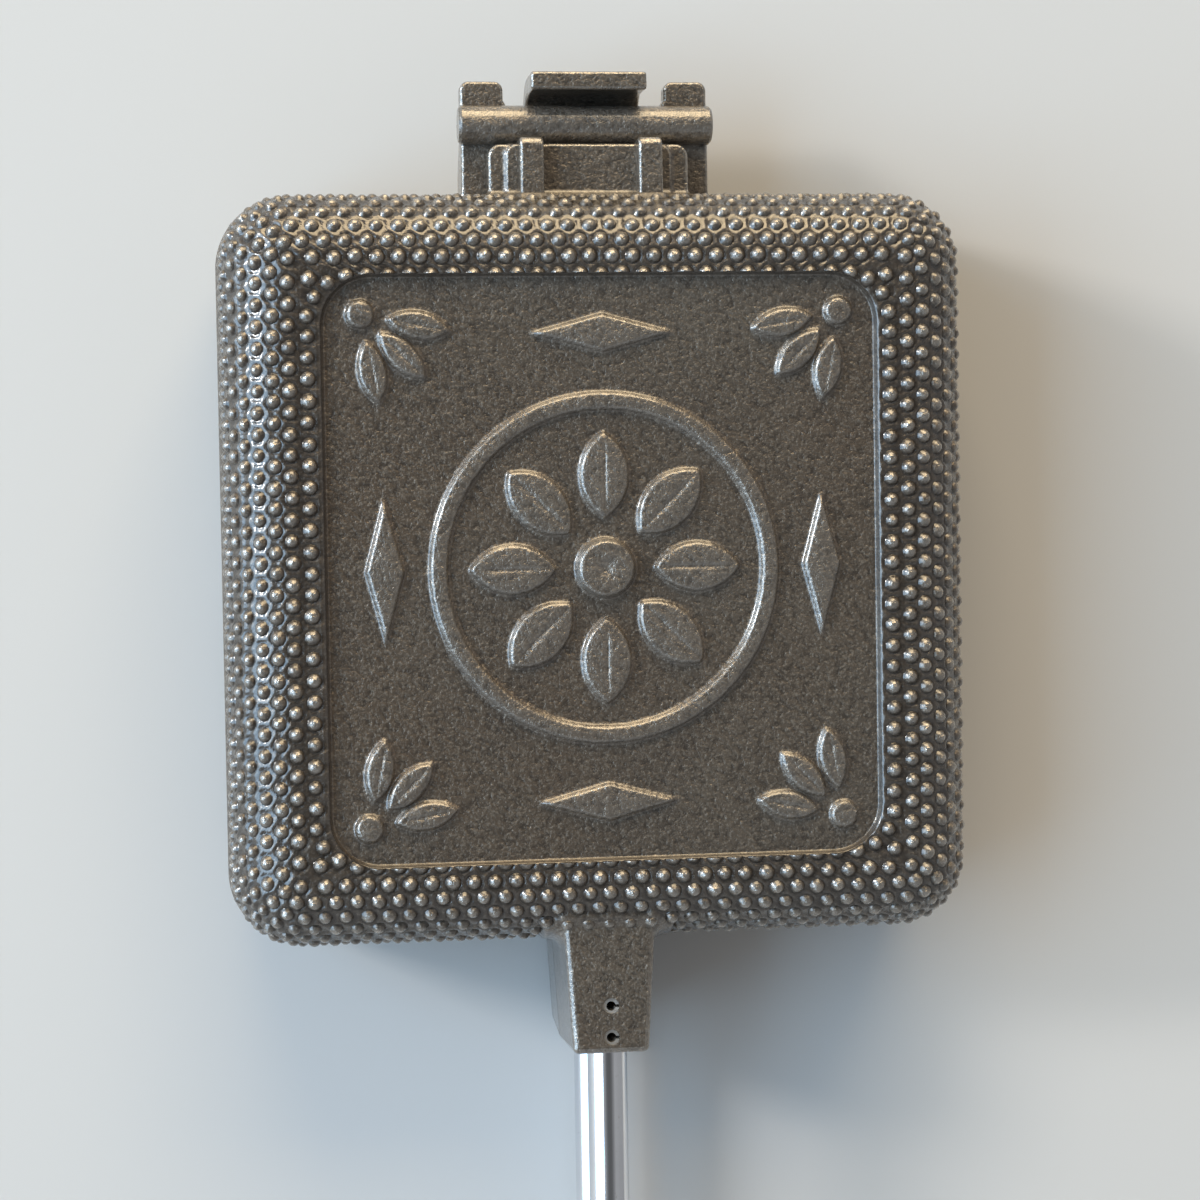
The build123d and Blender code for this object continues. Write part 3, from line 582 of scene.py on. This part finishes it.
def section_at(reach):
    """Half width, height and lean of the shell at a distance along its surface from the
    end of the flat ring: flat, then round, then straight down the wall."""
    turn = np.clip(reach / DOME_RADIUS, 0.0, DOME_SWEEP)
    down = np.maximum(reach - DOME_RADIUS * DOME_SWEEP, 0.0)
    half = RING_END + np.minimum(reach, 0.0) + DOME_RADIUS * np.sin(turn)
    half = half + down * math.sin(WALL_DRAFT)
    height = HALF_HEIGHT - DOME_RADIUS * (1 - np.cos(turn)) - down * math.cos(WALL_DRAFT)
    return half, height, turn


def along_border(half, corner, length):
    """Point and outward direction on a rounded square, at a length from the middle of its
    right side: straight, then a quarter circle, then straight to the middle of the next."""
    straight = half - corner
    angle = np.clip((length - straight) / np.maximum(corner, 1e-6), 0.0, math.pi / 2)
    after = np.maximum(length - straight - corner * math.pi / 2, 0.0)
    x = straight + corner * np.cos(angle) - after
    y = np.minimum(length, straight) + corner * np.sin(angle)
    return x, y, np.cos(angle), np.sin(angle)


def quarter_row(number):
    """Lengths along one quarter of a row: whole steps on the straight, then even steps from
    the last stud of one side round the corner to the first of the next."""
    reach = ROW_STEP * (number - 1)
    half = float(section_at(reach)[0])
    corner = FIRST_CORNER if number == 0 else half - CORNER_CENTRE
    straight = half - corner
    shift = 0.5 * (number % 2)
    steps = np.arange(-MOST_STEPS, MOST_STEPS) + shift
    fits = np.abs(steps * STUD_PITCH) < straight - END_ROOM * STUD_PITCH
    side = steps[fits] * STUD_PITCH
    stretch = 2 * (straight - side[-1]) + corner * math.pi / 2
    gaps = max(2, round(stretch / STUD_PITCH))
    bend = side[-1] + stretch * np.arange(1, gaps) / gaps
    return reach, half, corner, np.concatenate([side, bend])


def turned(points, directions, quarter):
    """Both arrays turned by a number of right angles about the middle of the shell."""
    cos, sin = [(1, 0), (0, 1), (-1, 0), (0, -1)][quarter]
    turn = np.array([[cos, sin, 0], [-sin, cos, 0], [0, 0, 1]], float)
    return points @ turn, directions @ turn


def stud_row(number):
    """Places and directions of all studs of one row."""
    reach, half, corner, length = quarter_row(number)
    _, height, lean = section_at(reach)
    forward = np.where(length < 0, -1.0, 1.0)
    x, y, out_x, out_y = along_border(half, corner, np.abs(length))
    points = np.stack([x, y * forward, np.full_like(x, height)], axis=1)
    sideways = np.stack([out_x, out_y * forward], axis=1) * np.sin(lean)
    directions = np.column_stack([sideways, np.full(len(x), np.cos(lean))])
    quarters = [turned(points, directions, quarter) for quarter in range(4)]
    return [np.concatenate(arrays) for arrays in zip(*quarters)]


def panel_distance(points):
    """Distance outside the panel's edge, a rounded rectangle, seen from above."""
    over_x = np.abs(points[:, 0]) - (PANEL_ACROSS - PANEL_CORNER)
    over_y = np.abs(points[:, 1]) - (PANEL_ALONG - PANEL_CORNER)
    outside = np.hypot(np.maximum(over_x, 0), np.maximum(over_y, 0))
    return outside + np.minimum(np.maximum(over_x, over_y), 0) - PANEL_CORNER


rows = [stud_row(number) for number in range(ROW_COUNT)]
row_points, row_directions = [np.concatenate(arrays) for arrays in zip(*rows)]
print("studs in", ROW_COUNT, "rows:", len(row_points))

# %% [markdown]
# The odd studs at the corners are found by trial: a fine set of candidate places is visited
# in a fixed random order, and one is taken wherever there is still room for a whole stud.

# %% Odd studs at the corners
CANDIDATE_REACH = (-4.4, 3.0)  # from the end of the flat ring, along the surface
CANDIDATE_LINES = 30
CANDIDATE_TURNS = 25
FILL_SEED = 7


def corner_candidates():
    """Places in one corner on level lines from the panel to just past the second row."""
    reach = np.linspace(*CANDIDATE_REACH, CANDIDATE_LINES)
    angle = np.linspace(0.0, math.pi / 2, CANDIDATE_TURNS)
    half, height, lean = section_at(reach[:, None] + 0 * angle)
    ring_width = RING_END - PANEL_ACROSS
    share = np.clip((reach[:, None] + ring_width) / ring_width, 0.0, 1.0)
    corner = PANEL_CORNER + (RING_END_CORNER - PANEL_CORNER) * share
    corner = np.maximum(corner, half - CORNER_CENTRE)
    centre = half - corner
    cos, sin = np.cos(angle), np.sin(angle)
    points = np.stack([centre + corner * cos, centre + corner * sin, height], axis=2)
    directions = np.stack([np.sin(lean) * cos, np.sin(lean) * sin, np.cos(lean)], axis=2)
    return points.reshape(-1, 3), directions.reshape(-1, 3)


def fill_corners(points, directions, seed):
    """Add candidates, one by one, that keep STUD_ROOM from every stud already there."""
    random = np.random.default_rng(seed)
    corner_points, corner_directions = corner_candidates()
    for quarter in range(4):
        spots, leans = turned(corner_points, corner_directions, quarter)
        for pick in random.permutation(len(spots)):
            clear = np.linalg.norm(points - spots[pick], axis=1).min() > STUD_ROOM
            if clear and panel_distance(spots[pick:pick + 1])[0] > PANEL_ROOM:
                points = np.vstack([points, spots[pick]])
                directions = np.vstack([directions, leans[pick]])
    return points, directions


stud_points, stud_directions = fill_corners(row_points, row_directions, FILL_SEED)
print("studs with the corners filled:", len(stud_points))

# %% [markdown]
# ## The skin under the studs
# Between the studs the iron lies nearly a millimetre below their tips.  It is not even
# there: a soft net stands a little higher midway between the studs, and a shallow moat runs
# round every one.  The skin is lofted: one rounded rectangle after another, from the
# panel's floor up its drafted wall, over the ring and down the dome to the rim.  Towards
# the rim, the socket and the hinge it comes up to meet them.

# %% Section of the shell
RING_LINES = 8
DOME_LINES = 35
WALL_LINES = 15


def shell_section():
    """Half widths, corner radius, height and outward direction of every level line."""
    share = np.linspace(0.0, 1.0, RING_LINES)[:, None]
    edge = np.array([PANEL_ACROSS, PANEL_ALONG, PANEL_CORNER])
    top = np.array([RING_END, RING_END, RING_END_CORNER])
    ring = edge + (top - edge) * share
    turn = np.linspace(0.0, DOME_SWEEP, DOME_LINES)[1:]
    dome_half = RING_END + DOME_RADIUS * np.sin(turn)
    dome = np.stack([dome_half, dome_half, dome_half - CORNER_CENTRE], axis=1)
    dome_height = HALF_HEIGHT - DOME_RADIUS + DOME_RADIUS * np.cos(turn)
    wall_height = np.linspace(dome_height[-1], RIM_START, WALL_LINES)[1:]
    wall_half = RIM_HALF - wall_height * math.tan(WALL_DRAFT)
    wall = np.stack([wall_half, wall_half, wall_half - CORNER_CENTRE], axis=1)
    lines = np.concatenate([ring, dome, wall])
    height = np.concatenate([np.full(len(ring), HALF_HEIGHT), dome_height, wall_height])
    lean = np.concatenate([np.zeros(len(ring)), turn, np.full(len(wall), DOME_SWEEP)])
    return lines, height, lean


# inset from the panel's edge and height below the ring, from the floor's seam upwards
PANEL_WALL = np.array([
    (-0.95, -2.20), (-0.74, -2.18), (-0.62, -2.10), (-0.54, -1.95), (-0.46, -1.70),
    (-0.38, -1.42), (-0.33, -1.22), (-0.26, -1.04), (-0.13, -0.93),
])
BLOCK = 2000  # points measured at a time
MEETS = (0.5, 1.8)  # the skin sinks between these distances from what it meets
NET_RISES = (1.35, 1.95)  # the net rises between these distances from a stud's middle
WALL_TOP_OIL_AND_SHADE = -0.8  # oil and painted shade at the top of the panel's wall, from 0 at its foot
# oil and painted shade in the moat round each stud
MOAT_OIL_AND_SHADE = -1.0
NET_GAIN = 0.5  # how much less oil and painted shade there is on the net


def nearest(points, others):
    """Distance from each point to the closest one of the others, block by block.  The
    square of the distance is p.p - 2 p.q + q.q."""
    blocks = np.array_split(points, max(1, len(points) // BLOCK))
    squares = (others ** 2).sum(axis=1)
    least = [((block ** 2).sum(axis=1)[:, None] - 2 * block @ others.T + squares).min(axis=1)
             for block in blocks]
    return np.sqrt(np.maximum(np.concatenate(least), 0.0))


def smooth_rise(value, low, high):
    """0 up to low, 1 from high on, and a smooth S-shaped line between."""
    share = np.clip((value - low) / (high - low), 0.0, 1.0)
    return share * share * (3.0 - 2.0 * share)


def skin(half):
    """Loft of the level lines, moved inwards along their own direction by the depth of the
    net or the moat, and closed round the shell."""
    edge_x, edge_y = square_border(PANEL_CELLS)
    lines, height, lean = shell_section()
    x, y = rounded_border(lines[:, :1], lines[:, 1:2], lines[:, 2:], edge_x, edge_y)
    z = np.broadcast_to(height[:, None], x.shape)
    surface = np.stack([x, y, z], axis=2).reshape(-1, 3)
    margin = np.minimum(nearest(surface, cuts[half]), surface[:, 2] - RIM_START)
    free = smooth_rise(margin, *MEETS).reshape(x.shape)
    net = smooth_rise(nearest(surface, stud_points), *NET_RISES).reshape(x.shape)
    depth = free * (MOAT_DEPTH + (NET_DEPTH - MOAT_DEPTH) * net)
    inward = depth * np.sin(lean)[:, None]
    across, along = lines[:, :1] - inward, lines[:, 1:2] - inward
    corner = np.maximum(lines[:, 2:] - inward, 0.0)
    x, y = rounded_border(across, along, corner, edge_x, edge_y)
    z = z - depth * np.cos(lean)[:, None]
    inset = PANEL_WALL[:, :1]
    low_x, low_y = rounded_border(
        PANEL_ACROSS + inset, PANEL_ALONG + inset, PANEL_CORNER + inset, edge_x, edge_y)
    low_z = np.broadcast_to(HALF_HEIGHT + PANEL_WALL[:, 1:], low_x.shape)
    low = np.stack([low_x, low_y, low_z], axis=2)
    grid = np.concatenate([low, np.stack([x, y, z], axis=2)])
    number = np.arange(grid[..., 0].size).reshape(grid.shape[:2])
    after = np.roll(number, -1, axis=1)
    faces = np.stack([number[:-1], number[1:], after[1:], after[:-1]], axis=2)
    on_wall = np.linspace(0.0, WALL_TOP_OIL_AND_SHADE, len(low))[:, None] + 0 * low_x
    # Oil and painted shade on the skin: darkest in the moat round each stud, less on the net
    # midway.
    on_skin = free * (NET_GAIN * net + MOAT_OIL_AND_SHADE)
    cast(half, "_skin", grid, [faces.reshape(-1, 4)], np.concatenate([on_wall, on_skin]))


for half in HALVES:
    skin(half)

# %% [markdown]
# ## The sunk panel and its ornament
# The middle of each shell carries a low cast ornament: a rosette of eight leaves in a ring,
# a fan of leaves in every corner and a long diamond on every side.  It could be built from
# solids, but cast relief has soft edges and slightly pillowed tops.  A height map gives
# these for free: for every point the distance inside the nearest outline is known from
# plain geometry, and the height is a smooth function of that distance.

# %% Ornament of the panel
RELIEF_HEIGHT = 1.2
BOSS_RADIUS = 5.5
PETAL_COUNT = 8
PETAL = (8.5, 24.0, 9.0)  # root and tip from the middle, and width
RING_MIDDLE = 29.2
RING_HALF = 1.7
FAN_PLACE = (42.0, 44.5)  # across and along
FAN_DISC = 2.6
FAN_LEAF = (4.4, 16.0, 5.2)  # root and tip from the disc's middle, and width
FAN_TURNS = (191.0, 225.0, 259.0)
DIAMOND_LONG = 13.0  # half length
DIAMOND_SHORT = 3.5  # half width
DIAMOND_PLACE = (38.5, 41.0)  # across and along
RIB_WIDTH = 0.32  # this far from its middle a groove is about a third as deep
RIB_DEPTH = 0.3
RIB_FADE = 4.5  # the higher, the nearer to a leaf's ends its groove begins to fade
RIB_MARGIN = 0.3  # no groove is nearer to the outline than this
EDGE_SLOPE = (-0.1, 0.6)  # distances inside the outline between which the edge rises
PILLOW_SHARE = 0.14  # of the height, gained within PILLOW_WIDTH of the outline
PILLOW_WIDTH = 2.2
DIMPLE_DEPTH = 0.45
DIMPLE_RADIUS = 1.3
RELIEF_CELL = 0.33  # about how far it is from point to point
CORNER_POWER = 6  # the higher, the later the rings of cells get round corners
TOP_WEAR = 0.45
SLOPE_WEAR = 0.25
PANEL_FLOOR = 0.1  # anything lower than this is floor
# the sunk floor is a little darker and smoother: oil with painted shade
PANEL_FLOOR_OIL_AND_SHADE = -0.12


def inside_lens(along, across, root, tip, width):
    """Distance inside a pointed leaf between two equal arcs through its root and its tip:
    the arc's radius less the distance to the arc's centre on the other side."""
    reach = (tip - root) / 2
    radius = (reach ** 2 + (width / 2) ** 2) / width
    return radius - np.hypot(along - (root + tip) / 2, np.abs(across) + radius - width / 2)


def midrib(along, across, root, tip):
    """A shallow groove along the middle of a leaf, fading out before both ends."""
    share = np.clip((along - root) / (tip - root), 0.0, 1.0)
    return np.exp(-(across / RIB_WIDTH) ** 2) * np.clip(RIB_FADE * share * (1.0 - share), 0.0, 1.0)


def relief(x, y):
    """Height of the ornament above the panel's floor, in millimetres."""
    radius = np.hypot(x, y)
    sector = 2 * math.pi / PETAL_COUNT
    folded = np.mod(np.arctan2(y, x) + sector / 2, sector) - sector / 2
    along, across = radius * np.cos(folded), radius * np.sin(folded)
    inside = inside_lens(along, across, *PETAL)
    groove = midrib(along, across, *PETAL[:2])
    inside = np.maximum(inside, RING_HALF - np.abs(radius - RING_MIDDLE))
    right, front = np.abs(x) - FAN_PLACE[0], np.abs(y) - FAN_PLACE[1]
    inside = np.maximum(inside, FAN_DISC - np.hypot(right, front))
    for angle in np.radians(FAN_TURNS):
        along = right * math.cos(angle) + front * math.sin(angle)
        across = front * math.cos(angle) - right * math.sin(angle)
        leaf = inside_lens(along, across, *FAN_LEAF)
        groove = np.maximum(groove, midrib(along, across, *FAN_LEAF[:2]) * (leaf > 0))
        inside = np.maximum(inside, leaf)
    steepness = DIAMOND_SHORT * DIAMOND_LONG / math.hypot(DIAMOND_SHORT, DIAMOND_LONG)
    from_side = np.abs(np.abs(x) - DIAMOND_PLACE[0]) / DIAMOND_SHORT
    from_end = np.abs(np.abs(y) - DIAMOND_PLACE[1]) / DIAMOND_SHORT
    side = 1.0 - np.abs(y) / DIAMOND_LONG - from_side
    end = 1.0 - np.abs(x) / DIAMOND_LONG - from_end
    inside = np.maximum(inside, steepness * np.maximum(side, end))
    slope = smooth_rise(inside, *EDGE_SLOPE)
    pillow = 1.0 - PILLOW_SHARE + PILLOW_SHARE * np.clip(inside / PILLOW_WIDTH, 0.0, 1.0)
    height = RELIEF_HEIGHT * slope * pillow - RIB_DEPTH * groove * (inside > RIB_MARGIN)
    knob = smooth_rise(BOSS_RADIUS - radius, 0.0, 1.0)
    dimple = DIMPLE_DEPTH * np.exp(-(radius / DIMPLE_RADIUS) ** 2)
    return np.maximum(height, (PANEL_DEPTH - dimple) * knob)


def panel(half):
    """Square grid, bent to the rounded rectangle of the panel: the border square of each
    ring of cells becomes a rounded rectangle, with round corners only near the outside."""
    step = np.linspace(-1.0, 1.0, PANEL_CELLS + 1)
    grid_x, grid_y = np.meshgrid(step, step)
    ring = np.maximum(np.abs(grid_x), np.abs(grid_y))
    safe = np.maximum(ring, 1e-9)
    x, y = rounded_border(
        (PANEL_ACROSS - SEAM_INSET) * ring, (PANEL_ALONG - SEAM_INSET) * ring,
        (PANEL_CORNER - SEAM_INSET) * ring ** CORNER_POWER, grid_x / safe, grid_y / safe)
    height = relief(x, y)
    points = np.stack([x, y, HALF_HEIGHT - PANEL_DEPTH + height], axis=2)
    number = np.arange(x.size).reshape(x.shape)
    near, far = number[:-1], number[1:]
    faces = np.stack([near[:, :-1], near[:, 1:], far[:, 1:], far[:, :-1]], axis=2)
    slope_x, slope_y = np.gradient(height, RELIEF_CELL)
    edge = np.clip(np.hypot(slope_x, slope_y), 0.0, 1.0)
    wear_and_floor_shade = TOP_WEAR * np.clip(height / RELIEF_HEIGHT, 0.0, 1.0) + SLOPE_WEAR * edge
    # rubbing on the ornament's tops and slopes, oil with painted shade on the floor
    wear_and_floor_shade = wear_and_floor_shade + PANEL_FLOOR_OIL_AND_SHADE * (height < PANEL_FLOOR)
    print("highest point of the ornament:", round(float(height.max()), 3), "mm")
    cast(half, "_panel", points, [faces.reshape(-1, 4)], wear_and_floor_shade)


for half in HALVES:
    panel(half)

# %% [markdown]
# ## The studs
# Each stud is a small closed button: six rings of ten points, only seventy faces in all,
# because it is repeated so often.  Its tip touches the CAD surface, its steep side goes down
# to the moat and its skirt sinks into the skin.  No two castings of a stud are quite alike,
# so each is shifted, widened and lowered by a few hundredths of a millimetre.  One row runs
# on over the root of the socket, where only the tops of its studs show.

# %% The stud's own form
# radius and height of every ring of points, from the tip down
STUD_SECTION = np.array([
    (0.40, -0.06), (0.80, -0.27), (1.12, -0.58), (1.34, -0.86), (1.52, -1.02), (1.8, -1.15),
])
# rubbing on the tip, oil and painted shade on the lower side and foot of each stud
RING_WEAR_AND_SHADE = [0.9, 0.5, 0.0, -0.6, -1.0, -1.0]
STUD_FLOOR = -1.4
STUD_SIDES = 10
FLAW_SHARE = 0.02  # of all studs
FLAW_DEPTH = 0.16
CUT_ROOM = 1.75  # studs keep this from the socket and the hinge
# blocks of the socket and the tongue and rib, or the arm, where they stand on the shell
FEET = {
    "upper": [(-1, 0.0, 10.4, 17.3), (1, 0.0, 18.6, 5.6), (1, 7.6, 13.4, 9.9)],
    "lower": [(-1, 0.0, 10.4, 17.3), (1, 12.8, 23.2, 9.6)],
}
ROOT_ROW = (-1, 0.0, 12.0, 17.3)  # block with the row that runs on over the socket's root
ROOT_LOW = 16.0  # the lowest place in that row
ROOT_HALF = 9.0  # the root itself; beyond it the row is on its blend
ROOT_PROUD = 0.9  # how much higher studs stand on the root of the socket
BLEND_PROUD = 0.35  # the same for the next one on each side
EDGE_ROOM = 0.1  # studs end this far inside the panel's edge


def buttons(points, directions, wide, sunk, stray, dents):
    """All studs at once.  Each is its section turned about its own direction; `wide` scales
    it, `sunk` lowers it, `stray` shifts it sideways and `dents` lowers each point a little
    more.  Every point goes down by its own distance above the shell, so that the skirts
    follow the dome."""
    helper = np.where(np.abs(directions[:, 2:]) < 0.9, [[0, 0, 1.0]], [[1.0, 0, 0]])
    first = np.cross(directions, helper)
    first = first / np.linalg.norm(first, axis=1, keepdims=True)
    second = np.cross(directions, first)
    angle = np.arange(STUD_SIDES) * 2 * math.pi / STUD_SIDES
    circle = first[:, None] * np.cos(angle)[:, None] + second[:, None] * np.sin(angle)[:, None]
    middle = (points + first * stray[:, :1] + second * stray[:, 1:])[:, None]
    radius = STUD_SECTION[:, 0][None, :, None, None] * wide[:, None, None, None]
    rings = (middle[:, None] + circle[:, None] * radius).reshape(len(points), -1, 3)
    flat = np.concatenate([middle, rings, middle], axis=1)
    section = np.concatenate([[0.0], np.repeat(STUD_SECTION[:, 1], STUD_SIDES), [STUD_FLOOR]])
    height = section[None, :] - dents - sunk[:, None] - above_outside(flat)
    return flat + directions[:, None, :] * height[..., None]


def cut_at_panel(shapes):
    """Points that overhang the sunk panel move out to EDGE_ROOM inside its edge: away from
    the centre of the nearest corner, or straight across the nearer side."""
    over = np.abs(shapes[..., :2]) - (PANEL_ACROSS - PANEL_CORNER, PANEL_ALONG - PANEL_CORNER)
    in_corner = (over > 0).all(axis=-1, keepdims=True)
    arm = np.where(in_corner | (over >= over.max(axis=-1, keepdims=True)), over, 0.0)
    length = np.linalg.norm(arm, axis=-1, keepdims=True)
    growth = np.maximum((PANEL_CORNER - EDGE_ROOM) / length - 1.0, 0.0)
    moved = shapes.copy()
    moved[..., :2] = moved[..., :2] + np.sign(moved[..., :2]) * arm * growth
    return moved


def button_faces(count):
    """Triangles round the tip and the floor and quads between the rings of every stud."""
    side = np.arange(STUD_SIDES)
    after = (side + 1) % STUD_SIDES
    ring_count = len(STUD_SECTION)
    last = 1 + ring_count * STUD_SIDES
    tip = np.stack([np.zeros_like(side), 1 + side, 1 + after], axis=1)
    start = 1 + np.arange(ring_count - 1)[:, None] * STUD_SIDES
    quad = np.stack([start + side, start + STUD_SIDES + side,
                     start + STUD_SIDES + after, start + after], axis=2).reshape(-1, 4)
    base = last - STUD_SIDES
    floor = np.stack([np.full_like(side, last), base + after, base + side], axis=1)
    offset = np.arange(count)[:, None, None] * (last + 1)
    triangles = np.concatenate([tip, floor])
    return (triangles + offset).reshape(-1, 3), (quad + offset).reshape(-1, 4)


print("faces of one stud:", sum(len(group) for group in button_faces(1)))

# %% Stand the studs on both shells
SEEDS = {"upper": 11, "lower": 12}
STRAY = 0.07  # usual shift sideways, along each of two directions
WIDTH_STRAY = 0.035  # usual difference of width, as a share
WIDTHS = (0.9, 1.08)  # narrowest and widest share
WALL_WIDTH = 0.86  # share of the width that is left on an upright wall
SUNK = 0.06  # usual lowering, never more than MOST_SUNK
MOST_SUNK = 0.25
DENT = 0.045  # usual lowering of one point
RUB_STRAY = 0.12  # usual difference of wear
FLAW_WEAR = 0.5  # a flawed stud is worn less by this


def studs(half):
    """Every stud that has room, as one mesh, with small differences from stud to stud."""
    random = np.random.default_rng(SEEDS[half])
    covered = np.any([in_block(stud_points, *foot) for foot in FEET[half]], axis=0)
    free = (nearest(stud_points, cuts[half]) > CUT_ROOM) & ~covered
    root = ~free & in_block(stud_points, *ROOT_ROW) & (stud_points[:, 2] > ROOT_LOW)
    points = stud_points[free | root]
    directions = stud_directions[free | root]
    stray = random.normal(0.0, STRAY, (len(points), 2))
    wide = random.normal(1.0, WIDTH_STRAY, len(points)).clip(*WIDTHS)
    wide = wide * (WALL_WIDTH + (1.0 - WALL_WIDTH) * directions[:, 2])
    sunk = np.abs(random.normal(0.0, SUNK, len(points))).clip(0.0, MOST_SUNK)
    flawed = random.random(len(points)) < FLAW_SHARE
    proud = np.where(np.abs(points[:, 0]) < ROOT_HALF, ROOT_PROUD, BLEND_PROUD)
    sunk = np.where(flawed, FLAW_DEPTH, sunk) - proud * root[free | root]
    shape = (len(points), 2 + len(STUD_SECTION) * STUD_SIDES)
    dents = np.abs(random.normal(0.0, DENT, shape))
    shapes = cut_at_panel(buttons(points, directions, wide, sunk, stray, dents))
    shapes[..., 2] = np.minimum(shapes[..., 2], HALF_HEIGHT)
    # Each stud: rubbed at the tip, oil and painted shade on its lower side and foot, some more
    # rubbed than others.
    one = np.concatenate([[1.0], np.repeat(RING_WEAR_AND_SHADE, STUD_SIDES), [-1.0]])
    rub = random.normal(0.0, RUB_STRAY, len(points))[:, None]
    wear = one[None, :] + rub - FLAW_WEAR * flawed[:, None]
    cast(half, "_studs", shapes, button_faces(len(points)), wear)


for half in HALVES:
    studs(half)

# %% [markdown]
# ## Rods, pins and collars
# The rods are drawn steel with a bright plating: nearly a mirror, with faint marks along the
# rod from the die.  The pins and collars are dull plain steel, the ferrules are satin,
# turned on a lathe, and the latch is a zinc-plated plate.  Their CAD meshes are smooth and
# exact, so they keep them and only get a finish.

# %% Plated and plain steel
def bright_plating():
    chrome = Recipe("bright_rod_plating", metallic=1.0)
    drawn = chrome.noise(0.12, detail=2.0, place=chrome.stretched((1.0, 0.012, 1.0)))
    smudge = chrome.noise(14.0, detail=4.0, rough=0.6)
    fine = chrome.noise(0.5)
    tone = chrome.mix(chrome.ramp(smudge, 0.35, 0.7), (0.88, 0.88, 0.89), (0.76, 0.76, 0.78))
    tone = chrome.mix(chrome.ramp(fine, 0.66, 0.74, 0.0, 0.4), tone, (0.45, 0.43, 0.40))
    smudged = chrome.ramp(smudge, 0.4, 0.7, 0.09, 0.18)
    rough = chrome.maths("ADD", smudged, chrome.ramp(drawn, 0.4, 0.7, 0.0, 0.06))
    return chrome.finish(tone, rough, chrome.bump(drawn, 0.012, 0.5))


def turned_steel(name, tone, dark, smooth, step_mm):
    """Satin metal with fine rings round the rod's direction, rougher by 0.16 in places."""
    steel = Recipe(name, metallic=1.0)
    ring = steel.noise(step_mm, detail=2.0, place=steel.stretched((0.03, 1.0, 0.03)))
    stain = steel.noise(5.0, detail=4.0, rough=0.6)
    colour = steel.mix(steel.ramp(stain, 0.4, 0.7), tone, dark)
    rough = steel.ramp(ring, 0.3, 0.7, smooth, smooth + 0.16)
    return steel.finish(colour, rough, steel.bump(ring, 0.02, 0.5))


rod_plating = bright_plating()
ferrule_steel = turned_steel("satin_ferrule", (0.62, 0.60, 0.57), (0.42, 0.39, 0.35), 0.26, 0.15)
pin_steel = turned_steel("dark_spring_steel", (0.72, 0.69, 0.64), (0.48, 0.44, 0.38), 0.42, 0.2)
latch_steel = turned_steel("zinc_plated_plate", (0.60, 0.60, 0.58), (0.44, 0.43, 0.38), 0.30, 0.4)


def finish_node(name, material):
    """Give a CAD node its finish."""
    node = nodes[name]
    node.data.materials.clear()
    node.data.materials.append(material)


for half in HALVES:
    finish_node(half + "_rod", rod_plating)
    finish_node(half + "_ferrule", ferrule_steel)
    for pin in ("_grip_pin", "_rear_roll_pin", "_front_roll_pin"):
        finish_node(half + pin, pin_steel)
for name in ("front_collar", "rear_collar"):
    finish_node(name, pin_steel)
finish_node("latch_hook", latch_steel)
print("finished CAD nodes: rods, ferrules, pins, latch and collars")

# %% [markdown]
# ## Turned wooden grips
# The grips are turned from a straight-grained pale hardwood and varnished.  On a turned
# piece the year rings show as long stripes where the cut runs with the grain, crossed by
# short dark pores.  The pattern is a set of wavy layers across the grip, pulled out along
# it, with a second, finer noise for the pores.

# %% Wood
def varnished_wood():
    wood = Recipe("varnished_hardwood", coat=0.5, coat_roughness=0.18)
    long_grain = wood.stretched((1.0, 0.055, 1.0))
    layers = wood.noise(2.2, rough=0.5, place=long_grain, distortion=0.6)
    fibres = wood.noise(0.35, rough=0.6, place=long_grain)
    pore = wood.noise(0.22, detail=1.0, place=wood.stretched((1.0, 0.10, 1.0)))
    tone = wood.noise(30.0, detail=2.0)
    pale = wood.mix(wood.ramp(tone, 0.35, 0.65), (0.50, 0.30, 0.145), (0.42, 0.235, 0.105))
    banded = wood.mix(wood.ramp(layers, 0.40, 0.62), pale, (0.31, 0.155, 0.065))
    streaked = wood.mix(wood.ramp(fibres, 0.45, 0.75, 0.0, 0.45), banded, (0.22, 0.10, 0.04))
    pored = wood.mix(wood.ramp(pore, 0.63, 0.72, 0.0, 0.7), streaked, (0.10, 0.045, 0.02))
    rough = wood.ramp(fibres, 0.3, 0.7, 0.36, 0.5)
    relief = wood.bump(wood.ramp(pore, 0.60, 0.72, 1.0, 0.0), 0.05, 0.5)
    relief = wood.bump(fibres, 0.03, 0.5, relief)
    return wood.finish(pored, rough, relief)


grip_wood = varnished_wood()
for half in HALVES:
    finish_node(half + "_grip", grip_wood)
print("material of both grips:", grip_wood.name)
